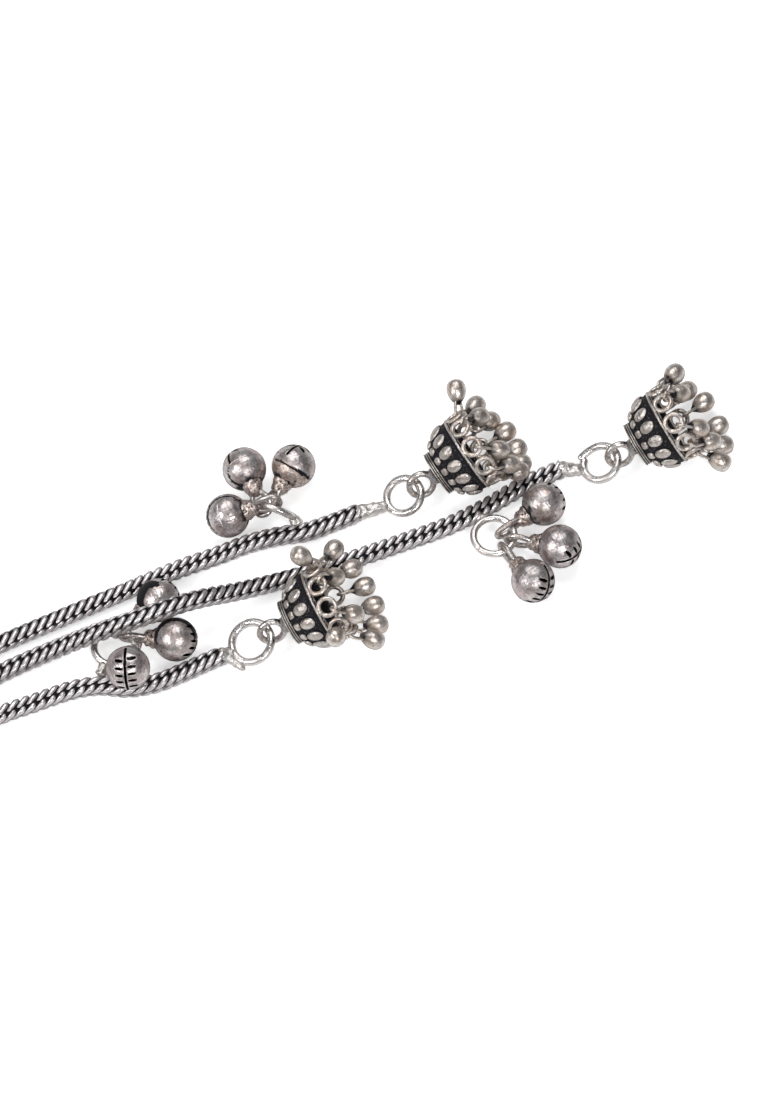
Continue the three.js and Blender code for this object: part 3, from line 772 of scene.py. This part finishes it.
ball_finish = silver(
    "brushed bell silver", metal=(0.74, 0.69, 0.67), warm=(0.58, 0.47, 0.43),
    cool=(0.3, 0.27, 0.29), tarnish=0.9, cloud_size=0.6, rough=0.36, oxide=BLACK_OXIDE,
    patchiness=0.5, grain=2.5, fineness=4.5, scratch=0.07, edge=0.92, scratch_tone=0.75)
neck_finish = silver(
    "grainy bell neck", metal=(0.88, 0.77, 0.71), warm=(0.66, 0.5, 0.42), cool=(0.28, 0.22, 0.22),
    tarnish=0.9, cloud_size=1.5, rough=0.32, oxide=BLACK_OXIDE, patchiness=1.8, grain=4.0,
    fineness=5.0, scratch=0.06, lumps=1.8, lump_size=3.0, edge=0.8, scratch_tone=0.5)
eye_finish = silver(
    "dull eye silver", metal=(0.7, 0.66, 0.63), warm=(0.52, 0.44, 0.39), cool=(0.3, 0.27, 0.27),
    tarnish=0.9, cloud_size=0.9, rough=0.36, fineness=4.5, scratch=0.06, edge=0.95,
    scratch_tone=0.7)
hollow_finish = silver(
    "black bell hollow", metal=(0.02, 0.018, 0.018), warm=(0.015, 0.014, 0.014),
    cool=(0.03, 0.03, 0.03), tarnish=0.5, cloud_size=1.0, rough=0.6)


# ---- Chains ----

def lobe_shape(around=12, along=8):
    """One lobe of the weave as (length, width, height) shares. Its negative end is its fat head."""
    corners = [(-1.0, 0.0, 0.0)]
    for j in range(1, along):
        t = -math.cos(math.pi * j / along)
        width = math.sqrt(1 - abs(t) ** LOBE["fullness"]) * (1 + LOBE["taper"] * t)
        for k in range(around):
            angle = 2 * math.pi * k / around
            rise = math.copysign(abs(math.sin(angle)) ** LOBE["flatness"], math.sin(angle))
            corners.append((t, width * math.cos(angle), width * rise))
    corners.append((1.0, 0.0, 0.0))
    return corners, closed_faces(along - 1, around)


def roll_at(name, x):
    """How far the rows are rolled where the chain passes x, in radians."""
    stops = CHAIN_ROLL[name]
    if x <= stops[0][0]:
        return math.radians(stops[0][1])
    for (x0, roll0), (x1, roll1) in zip(stops, stops[1:]):
        if x <= x1:
            return math.radians(roll0 + (roll1 - roll0) * (x - x0) / (x1 - x0))
    return math.radians(stops[-1][1])


def chain_surface(angle):
    """The chain's half width in one direction round it: a square with rounded corners."""
    power = LOBE["squareness"]
    spread = abs(math.cos(angle)) ** power + abs(math.sin(angle)) ** power
    return CHAIN_HALF_WIDTH * spread ** (-1 / power)


def painted_light_share(angle):
    """How far one direction round the chain is on its near side of painted light, from 0 to 1."""
    turned = math.degrees(math.atan2(math.sin(angle), math.cos(angle)))
    share = clamp((turned - PAINTED_LIGHT_SIDE["from"]) / (PAINTED_LIGHT_SIDE["full"] - PAINTED_LIGHT_SIDE["from"]))
    return share * share * (3 - 2 * share)


def wear_with_painted_light(angle, worn):
    """The wear at one direction round the chain, evened out towards the near side by painted light.
    """
    even = PAINTED_LIGHT_SIDE["recess"] + (PAINTED_LIGHT_SIDE["lobe"] - PAINTED_LIGHT_SIDE["recess"]) * worn
    return worn + (even - worn) * painted_light_share(angle)


def chain_lines(name):
    """Points along the chain's middle, with the directions up and aside at each, and its length."""
    path, length = smooth_path(ROUTES[name], SPACING["weave"])
    along = tangents(path)
    sides = [forward.cross(UP).normalized() for forward in along]
    return path, [side.cross(forward) for side, forward in zip(sides, along)], sides, length


def add_lobes(form, name, path, ups, sides, length):
    """Slanted lobes in rows round the chain, rolling slowly along it."""
    shape, faces = lobe_shape()
    slant = math.radians(LOBE["slant"])
    step = length / (len(path) - 1)
    for row in range(WEAVE_ROWS):
        for i in range(int(length / LOBE["pitch"]) + 2):
            reach = (i - 0.5 + row / WEAVE_ROWS) * LOBE["pitch"]
            if not 0 <= reach <= length:
                continue
            roll = roll_at(name, path[round(reach / step)].x) + 2 * math.pi * row / WEAVE_ROWS
            corners, worn = [], []
            for lengthwise, across, height in shape:
                run, spread = lengthwise * LOBE["half_length"], across * LOBE["half_width"]
                tail = LOBE["bend"] * ((lengthwise + 1) / 2) ** 2
                over = run * math.sin(slant) + spread * math.cos(slant) - LOBE["bend_aside"] * tail
                ahead = reach - run * math.cos(slant) + spread * math.sin(slant) - tail
                spot = clamp(ahead / step, 0, len(path) - 1)
                index = min(len(path) - 2, int(spot))
                middle = path[index].lerp(path[index + 1], spot - index)
                angle = roll + over / LOBE["reach"]
                outward = ups[index] * math.cos(angle) + sides[index] * math.sin(angle)
                depth = LOBE["half_height"] * (1 - height)
                corner = middle + outward * (chain_surface(angle) - depth)
                corner.z = max(corner.z, CHAIN_FOOT)
                corners.append(corner)
                # Worn bright where the lobe is high, with painted light on the chain's near side.
                bright = (height - LOBE["worn_from"]) / LOBE["worn_over"]
                worn.append(wear_with_painted_light(angle, clamp(bright - LOBE["tail_wear"] * lengthwise)))
            form.add(corners, faces, wear=worn)


def add_core(form, path, ups, sides):
    """The black core that shows between the lobes."""
    rows = list(zip(path, ups, sides))[::3]
    corners, worn = [], []
    for middle, up, side in rows:
        for k in range(CORE_SIDES):
            angle = 2 * math.pi * k / CORE_SIDES
            outward = up * math.cos(angle) + side * math.sin(angle)
            # On the near side the core is wider and painted a lighter grey, standing in for bounce
            # light.
            share = CORE_SHARE + (PAINTED_LIGHT_SIDE["core"] - CORE_SHARE) * painted_light_share(angle)
            corners.append(middle + outward * chain_surface(angle) * share)
            worn.append(wear_with_painted_light(angle, 0.0))
    faces = wall_faces(len(rows), CORE_SIDES) + end_faces(len(rows), CORE_SIDES)
    form.add(corners, faces, wear=worn)


def chain_weave(name):
    form = Form()
    path, ups, sides, length = chain_lines(name)
    add_lobes(form, name, path, ups, sides, length)
    add_core(form, path, ups, sides)
    lay(form, f"{name}_weave", [chain_finish], (name,))


def cut_ring_form(ring, middle, normal, wire):
    """One of the END_RINGS or SIDE_RINGS."""
    return ring_form(middle, normal, ring["radius"], wire, ring["cut"], ring.get("sprung", 0.0), 16)


def chain_ends(name):
    """The loops, rings and solder that finish one chain."""
    path, _ = smooth_path(ROUTES[name], SPACING["chain_end"])
    outward = path[0] - path[1]
    outward.z = 0
    outward.normalize()
    loop_middle = path[0] + outward * (UPPER_LOOP["radius"] - UPPER_LOOP["sunk"])
    loop_middle.z = UPPER_LOOP["height"]
    loop = ring_form(loop_middle, outward.cross(UP), UPPER_LOOP["radius"], UPPER_LOOP["wire"])
    run = SOLDER["upper"]
    loop_solder = solder_form(path[0] - outward * run["inside"],
                              path[0] + outward * run["outside"], run)

    ring, foot = END_RINGS[name], Vector(ROUTES[name][-1])
    middle, along = Vector(ring["at"]), direction(ring["heading"], ring["tip"])
    end_ring = cut_ring_form(ring, middle, direction(ring["heading"] + 180, 90 - ring["tip"]),
                             END_RING_WIRE)
    near_side = middle - along * ring["radius"]
    towards, run = (near_side - foot).normalized(), SOLDER["end"]
    end_solder = solder_form(foot - towards * run["inside"], near_side + towards * run["outside"],
                             run)
    if "tongue" in ring:
        end_solder.add_form(solder_form(foot, Vector(ring["tongue"]), SOLDER["tongue"]))

    ring = SIDE_RINGS[name]
    middle, normal, root = (Vector(ring[key]) for key in ("at", "normal", "solder"))
    normal.normalize()
    side_ring = cut_ring_form(ring, middle, normal, SIDE_RING_WIRE)
    spoke = root - middle
    spoke -= normal * spoke.dot(normal)
    side_solder = solder_form(root, middle + spoke.normalized() * ring["radius"], SOLDER["side"])

    for part, form, finish in (("upper_loop", loop, ring_finish),
                               ("upper_solder", loop_solder, solder_finish),
                               ("end_ring", end_ring, ring_finish),
                               ("end_solder", end_solder, solder_finish),
                               ("side_ring", side_ring, ring_finish),
                               ("side_solder", side_solder, solder_finish)):
        lay(form, f"{name}_{part}", [finish])


def top_ring():
    ring = ring_form(Vector(TOP_RING["at"]), UP, TOP_RING["radius"], TOP_RING["wire"],
                     TOP_RING["cut"], sides=16, steps=72)
    lay(ring, "top_ring_wire", [ring_finish], ("top_ring",))


def ear_hook():
    low, bend_at, bend = HOOK["lies_at"], HOOK["bend_at"], HOOK["bend"]
    points = [(HOOK["shank_start"] - back, 0, height) for back, height in HOOK["shank"]]
    for i in range(9):
        angle = math.pi * i / 8
        points.append((bend_at - bend * math.sin(angle), bend - bend * math.cos(angle), low))
    points += [(x, 2 * bend + out, low) for x, out in HOOK["tail"]]
    path, _ = smooth_path(points, SPACING["hook"])
    form = wire_form(path, HOOK["wire"], 14)
    loop_x = TOP_RING["at"][0] - TOP_RING["radius"] - HOOK["loop_gap"]
    form.add_form(ring_form(Vector((loop_x, 0, UPPER_LOOP["height"])), Vector((0, 1, 0)),
                            UPPER_LOOP["radius"], UPPER_LOOP["wire"]))
    lay(form, "ear_hook_wire", [ring_finish], ("ear_hook",))


# ---- Dome bells ----

def dome_section():
    """The shell's section from the inside of its crown round the rim to the neck, with its wear."""
    inner = DOME["radius"] - DOME["wall"]
    section = [(ON_AXIS, COLLAR_HEIGHT - DOME["crown_drop"], 0)]
    for latitude in INSIDE_LATITUDES:
        angle = math.radians(latitude)
        section.append((inner * math.cos(angle), inner * math.sin(angle), 0))
    section += RIM_SECTION
    first, last = math.radians(DOME["ground_from"]), math.atan2(COLLAR_HEIGHT, DOME["collar"])
    for i in range(1, DOME["ground_rows"] + 1):
        angle = first + (last - first) * i / DOME["ground_rows"]
        section.append((DOME["radius"] * math.cos(angle), DOME["radius"] * math.sin(angle),
                        DOME["ground_wear"]))
    top = COLLAR_HEIGHT + DOME["ridge_height"]
    return section + [(radius, top + height, wear) for radius, height, wear in NECK_SECTION]


def on_dome(column, latitude):
    """The frame of one grain: Z out of the dome, Y towards its crown."""
    around = 2 * math.pi * column / GRAINS_PER_ROW
    turn = Matrix.Rotation(around, 4, "Y") @ Matrix.Rotation(-math.radians(latitude), 4, "X")
    return turn @ Matrix.Translation((0, 0, DOME["radius"] - GRAIN_SUNK))


def dome_meshes():
    """The meshes that the three dome bells share, by part."""
    shell, grains, loops = lathe_form(dome_section(), DOME_SIDES), Form(), Form()
    oval = pill_form((OVAL_GRAIN["half_width"], OVAL_GRAIN["half_length"], OVAL_GRAIN["height"]))
    half = SQUARE_GRAIN["half_side"]
    square = pill_form((half, half, SQUARE_GRAIN["height"]), boxiness=SQUARE_GRAIN["boxiness"])
    for column in range(GRAINS_PER_ROW):
        grains.add_form(oval, on_dome(column, OVAL_GRAIN["latitude"]))
        grains.add_form(square, on_dome(column, SQUARE_GRAIN["latitude"]))
    for share in COLLAR_WIRES["heights"]:
        height = COLLAR_HEIGHT + share * DOME["ridge_height"]
        grains.add_form(ring_form(BELL_AXIS * height, BELL_AXIS,
                                  DOME["ridge"] - COLLAR_WIRES["wire"], COLLAR_WIRES["wire"],
                                  steps=84, sides=10))
    grains.add_form(ring_form(BELL_AXIS * RIM_WIRE["height"], BELL_AXIS, RIM_WIRE["radius"],
                              RIM_WIRE["wire"], steps=112, sides=10))
    loop = ring_form(Vector(), UP, RIM_LOOP["radius"], RIM_LOOP["wire"], steps=36)
    for index in range(RIM_LOOP["count"]):
        loops.add_form(loop, rim_loop_matrix(index))
    eye = ring_form(BELL_AXIS * DOME_EYE["height"], UP, DOME_EYE["radius"], DOME_EYE["wire"],
                    DOME_EYE["cut"], sides=16)
    foot, run = DOME_EYE["height"] - DOME_EYE["radius"], SOLDER["dome_eye"]
    joint = solder_form(BELL_AXIS * (foot - run["inside"]), BELL_AXIS * (foot + run["outside"]),
                        run)
    eye.add_form(joint, material=1)
    return {
        "shell": shell.mesh("dome_shell", [ground_finish]),
        "grains": grains.mesh("dome_grains", [grain_finish]),
        "loops": loops.mesh("dome_loops", [drop_finish]),
        "eye": eye.mesh("dome_eye", [eye_finish, neck_finish]),
    }


def rim_loop_matrix(index):
    """The frame of one rim loop: Y is up the loop, Z points away from the dome's middle line."""
    angle = 2 * math.pi * index / RIM_LOOP["count"]
    height = -(DOME["rim_drop"] + RIM_LOOP["radius"] - RIM_LOOP["sunk"])
    return Matrix.Rotation(angle, 4, "Y") @ Matrix.Translation((0, height, RIM_LOOP["at"]))


def dome_frame(dome):
    """The frame of one dome bell, its mouth along its heading and its eye turned."""
    turn = math.radians(dome["eye_turn"])
    return axes_frame(-direction(dome["heading"], dome["rise"]),
                      Vector((0, -math.cos(turn), math.sin(turn))), Vector(dome["at"]))


def drop_mesh():
    """A hairpin of wire with a turned bead on its two ends."""
    half, legs, foot = DROP_EYE["half_width"], DROP_EYE["legs"], DROP_EYE["foot"]
    turn = half * math.sqrt(0.5)
    waist = (DROP_EYE["waist"][0] * half, -DROP_EYE["waist"][1] * legs)
    form = hairpin_form([(foot, -legs), waist, (half, 0), (turn, turn)], half, UP,
                        DROP_EYE["wire"], SPACING["drop_eye"], 10)
    radius, widest, bottom = (DROP_BEAD[key] for key in ("radius", "widest", "bottom"))
    cap_radius, cap_foot, _ = BEAD_CAP[-1]
    section = list(BEAD_CAP)
    for i in range(1, 8):
        share = i / 7
        swell = math.sin(share * math.pi / 2) ** DROP_BEAD["shoulder"]
        section.append((cap_radius + (radius - cap_radius) * swell,
                        cap_foot - (widest + cap_foot) * share,
                        min(DROP_BEAD["wear"], DROP_BEAD["cap_wear"] + share)))
    for i in range(1, 9):
        angle = math.pi / 2 * i / 8
        section.append((max(ON_AXIS, radius * math.cos(angle) ** DROP_BEAD["base"]),
                        -widest - (bottom - widest) * math.sin(angle), DROP_BEAD["wear"]))
    form.add_form(lathe_form(section, 28))
    return form.mesh("fringe_drop", [drop_finish])


def drop_matrix(index, heading, dip, dome_matrix):
    """Where a drop hangs, slid along its rim loop and then swung out of the loop's plane."""
    loop = dome_matrix @ rim_loop_matrix(index)
    hang = loop.to_3x3().transposed() @ direction(heading, -dip)
    farthest = math.radians(DROP_EYE["farthest_slide"])
    slide = clamp(math.atan2(hang.x, -hang.y), -farthest, farthest)
    swing = math.atan2(hang.z, hang.x * math.sin(slide) - hang.y * math.cos(slide))
    return (loop @ Matrix.Rotation(slide, 4, "Z") @ Matrix.Translation((0, -RIM_LOOP["radius"], 0))
            @ Matrix.Rotation(-swing, 4, "X"))


def dome_bells():
    meshes, fringe_drop = dome_meshes(), drop_mesh()
    for name, dome in DOMES.items():
        matrix = dome_frame(dome)
        for part, mesh in meshes.items():
            set_down(f"{name}_{part}", mesh, matrix,
                     (name,) if part == "shell" else ())
        for index, (heading, dip) in enumerate(DROP_POSES[name]):
            node = f"{name.replace('dome', 'drop')}_{index + 1}"
            set_down(f"{node}_bead", fringe_drop,
                     drop_matrix(index, heading, dip, matrix), (node,))


# ---- Round bells ----

def ball_section(radius, polars, has_seam):
    """The outside or the inside of the ball, as (radius, height, wear)."""
    section = []
    for polar in polars:
        beyond, size = BELL["radius"] * math.cos(polar) - BELL_SEAM["at"], radius
        if has_seam and abs(beyond) < BELL_SEAM["groove"]:
            size -= BELL_SEAM["depth"]
        elif has_seam and -BELL_SEAM["lip_width"] < beyond < 0:
            size += BELL_SEAM["lip"]
        out = max(BELL["pole"], size * math.sin(polar))
        section.append((out, size * math.cos(polar), 1.0))
    return section


def blank_ball_mesh():
    """The ball's outside and the black inside of its hollow, before anything is cut."""
    even_rows = [math.pi * j / BALL_ROWS for j in range(BALL_ROWS + 1)]
    seam_at, radius = BELL_SEAM["at"], BELL["radius"]
    polars = [polar for polar in even_rows
              if abs(radius * math.cos(polar) - seam_at) > BELL_SEAM["left_out"]]
    polars += [math.acos((seam_at + beside) / radius) for beside in BELL_SEAM["rows"]]
    polars.sort()
    both = Form()
    both.add_form(lathe_form(ball_section(radius, polars, True), BALL_SIDES))
    inside = lathe_form(ball_section(radius - BELL["wall"], polars, False), BALL_SIDES)
    both.add_form(inside, material=1)
    mesh = both.mesh("bell_ball", [ball_finish, hollow_finish])
    turned = bmesh.new()
    turned.from_mesh(mesh)
    for face in turned.faces:
        outwards = face.normal.dot(face.calc_center_median()) > 0
        if outwards != (face.material_index == 0):
            face.normal_flip()
    bmesh.ops.remove_doubles(turned, verts=turned.verts, dist=BELL["weld"] * MM)
    turned.to_mesh(mesh)
    turned.free()
    return mesh


def slit_and_slots():
    """What is cut out of the ball: the slit, open to its bottom, and the slots beside it."""
    form, half, deep = Form(), BELL["slit"] / 2, BELL["radius"] + BELL["cut_past"]
    form.add([(x, y, z) for x in (-half, half) for y in (-deep, BELL["slit_top"])
              for z in (-deep, deep)],
             [(0, 1, 3, 2), (4, 6, 7, 5), (0, 4, 5, 1), (2, 3, 7, 6), (0, 2, 6, 4), (1, 5, 7, 3)])
    around = BELL_SLOT["corners"]
    for side in (-1, 1):
        for number in range(BELL_SLOT["per_side"]):
            from_middle = number - (BELL_SLOT["per_side"] - 1) / 2
            place = BELL_SLOT["pitch"] * (from_middle + BELL_SLOT["offset"] * side)
            corners = []
            for height in (BELL_SLOT["starts"], -deep):
                for k in range(around):
                    angle = 2 * math.pi * k / around
                    x = side * BELL_SLOT["out"] + BELL_SLOT["half_length"] * math.cos(angle)
                    corners.append((x, height, place + BELL_SLOT["half_width"] * math.sin(angle)))
            form.add(corners, wall_faces(2, around) + end_faces(2, around))
    return form.mesh("bell_cutter", [hollow_finish])


def ball_mesh():
    """The hollow ball with its slit and cross slots cut through, about its own Y axis."""
    tool = bpy.data.objects.new("bell_cutter", slit_and_slots())
    ball = bpy.data.objects.new("bell_blank", blank_ball_mesh())
    for thing in (tool, ball):
        bpy.context.scene.collection.objects.link(thing)
    cut = ball.modifiers.new("slit and slots", "BOOLEAN")
    cut.operation, cut.object, cut.solver = "DIFFERENCE", tool, "EXACT"
    bpy.context.view_layer.update()
    done = bpy.data.meshes.new_from_object(
        ball.evaluated_get(bpy.context.evaluated_depsgraph_get()))
    bpy.data.objects.remove(tool)
    bpy.data.objects.remove(ball)
    return done


def outside_black_arc(outward, arc, seed):
    """0 in the middle of a black arc and 1 outside it, with a ragged edge."""
    pole, middle = direction(*arc["pole"]), direction(*arc["middle"])
    from_pole = math.degrees(outward.angle(pole))
    level = outward - pole * outward.dot(pole)
    aside = math.degrees(level.angle(middle, 0.0))
    rough = noise.noise(outward * ARC_EDGE["grain"] + Vector((seed, 0, 0)))
    width = arc["width"] * math.sqrt(max(0.0, 1 - (aside / arc["run"]) ** 2))
    depth = min(from_pole - arc["start"], arc["start"] + width - from_pole)
    return 1.0 - clamp(0.5 + (depth + ARC_EDGE["ragged"] * rough) / ARC_EDGE["soft"])


def ball_wear(corner, seed):
    """Oxide stays in the seam round the ball, by its neck and in soft clouds."""
    cloud = noise.noise(corner * CLOUDS["grain"] + Vector((seed, 0.3 * seed, 0)))
    worn = 1.0 - clamp((cloud - CLOUDS["from"]) * CLOUDS["gain"], high=CLOUDS["most"])
    if abs(BELL_SEAM["at"] - corner.y) < BELL_SEAM["half_width"]:
        left = noise.noise(corner * IN_SEAM["grain"] + Vector((seed, 0, 0))) + IN_SEAM["spread"]
        worn -= IN_SEAM["most"] * max(0.0, left)
    rough = noise.noise(corner * BY_NECK["grain"])
    by_neck = clamp((corner.y - BY_NECK["from"]) / BY_NECK["over"] + rough)
    return worn * (1 - BY_NECK["most"] * by_neck)


def bell_mesh(name, ball, matrix):
    """The ball turned to its slit, with its rough neck and long wire eye, as one mesh."""
    bell, form = BELLS[name], Form()
    seed = bell["slit_turn"]
    turn = Matrix.Rotation(math.radians(seed), 4, "Y")
    corners, worn = [], []
    for vertex in ball.vertices:
        corner = turn @ (vertex.co / MM)
        dent = noise.noise(corner * DENTS["grain"] + Vector((seed, 0, 0)))
        corners.append(corner * (1 + DENTS["depth"] * dent))
        worn.append(ball_wear(corners[-1], seed))
        # A black arc painted round a pole, which is mostly the direction towards the camera.
        if name in BLACK_ARCS:
            outward = (matrix.to_3x3() @ corners[-1]).normalized()
            worn[-1] *= outside_black_arc(outward, BLACK_ARCS[name], seed)
    form.add(corners, [tuple(face.vertices) for face in ball.polygons], wear=worn)
    form.materials = [face.material_index for face in ball.polygons]
    if "flooded" in bell:
        for i, face in enumerate(ball.polygons):
            place = face.center / MM
            edge = bell["flooded"]
            edge += FLOOD_EDGE["swing"] * noise.noise(place * FLOOD_EDGE["grain"])
            if face.material_index == 0 and place.y > edge:
                form.materials[i] = 2
    run = SOLDER["bell"]
    form.add_form(solder_form(BELL_AXIS * run["from"], BELL_AXIS * run["to"], run), material=2)
    half, arc_at = BELL_EYE["half_width"], BELL_EYE["arc_at"]
    bend = half * math.sqrt(0.5)
    side = [(BELL_EYE["foot"], BELL_EYE["foot_at"]), (half, arc_at - BELL_EYE["straight"]),
            (half, arc_at), (bend, arc_at + bend)]
    eye = hairpin_form(side, arc_at + half, Vector((1, 0, 0)), BELL_EYE["wire"],
                       SPACING["bell_eye"], 12)
    form.add_form(eye, material=3)
    return form.mesh(f"{name}_metal", [ball_finish, hollow_finish, neck_finish, eye_finish])


def round_bells():
    ball = ball_mesh()
    for name, bell in BELLS.items():
        ring = SIDE_RINGS[bell["chain"]]
        middle, normal = Vector(ring["at"]), Vector(ring["normal"]).normalized()
        first = Vector((1, 0, 0))
        if normal.z < NEARLY_ALONG:
            first = (UP - normal * normal.z).normalized()
        place = math.radians(bell["place"])
        spoke = first * math.cos(place) + normal.cross(first) * math.sin(place)
        at = Vector(bell["at"])
        matrix = axes_frame(middle + spoke * ring["radius"] - at, normal.cross(spoke), at)
        set_down(f"{name}_ball", bell_mesh(name, ball, matrix), matrix, (name,))
    bpy.data.meshes.remove(ball)


# ---- Floor, light and camera ----

def floor():
    half, grey = FLOOR["half_side"], FLOOR["grey"]
    mesh = bpy.data.meshes.new("pale_floor")
    mesh.from_pydata([(-half, -half, 0), (half, -half, 0), (half, half, 0), (-half, half, 0)], [],
                     [(0, 1, 2, 3)])
    material = bpy.data.materials.new("pale floor")
    material.use_nodes = True
    tree = material.node_tree
    shader = tree.nodes["Principled BSDF"].inputs
    seen = tree.nodes.new("ShaderNodeLightPath").outputs["Is Camera Ray"]
    glow = plus(tree, times(tree, seen, FLOOR["seen_glow"]), FLOOR["glow"])
    for name, value in (("Base Color", (grey, grey, grey, 1)), ("Roughness", 0.8),
                        ("Specular IOR Level", 0.1), ("Emission Color", (1, 1, 1, 1)),
                        ("Emission Strength", glow)):
        put(tree, value, shader[name])
    mesh.materials.append(material)
    sheet = bpy.data.objects.new("pale_floor", mesh)
    bpy.context.scene.collection.objects.link(sheet)


def soft_light(name, heading, rise, distance, size, power):
    back = direction(heading, rise)
    data = bpy.data.lights.new(name, "AREA")
    data.shape, data.size, data.energy = "DISK", size, power
    lamp = bpy.data.objects.new(name, data)
    lamp.location = back * distance
    lamp.rotation_euler = back.to_track_quat("Z", "Y").to_euler()
    bpy.context.scene.collection.objects.link(lamp)


def studio():
    world = bpy.data.worlds.new("studio")
    bpy.context.scene.world = world
    world.use_nodes = True
    background = world.node_tree.nodes["Background"].inputs
    background["Color"].default_value = SKY["colour"]
    background["Strength"].default_value = SKY["strength"]
    for name, light in LIGHTS.items():
        soft_light(name, **light)
    bpy.context.scene.view_settings.view_transform = "Standard"


def camera():
    """Looks at the middle of the drawing from far off, with a long lens."""
    back = direction(VIEW["heading"], VIEW["rise"])
    right = UP.cross(back).normalized()
    data = bpy.data.cameras.new("camera")
    data.sensor_fit, data.sensor_width = "HORIZONTAL", VIEW["sensor"]
    data.lens = VIEW["sensor"] * VIEW["distance"] / VIEW["width"]
    data.clip_start, data.clip_end = VIEW["clip"]
    thing = bpy.data.objects.new("camera", data)
    thing.matrix_world = frame_matrix(right, back.cross(right), back,
                                      (SHIFT + back * VIEW["distance"]) * MM)
    bpy.context.scene.collection.objects.link(thing)
    bpy.context.scene.camera = thing


camera()
floor()
studio()
top_ring()
ear_hook()
for chain_name in ROUTES:
    chain_weave(chain_name)
    chain_ends(chain_name)
dome_bells()
round_bells()
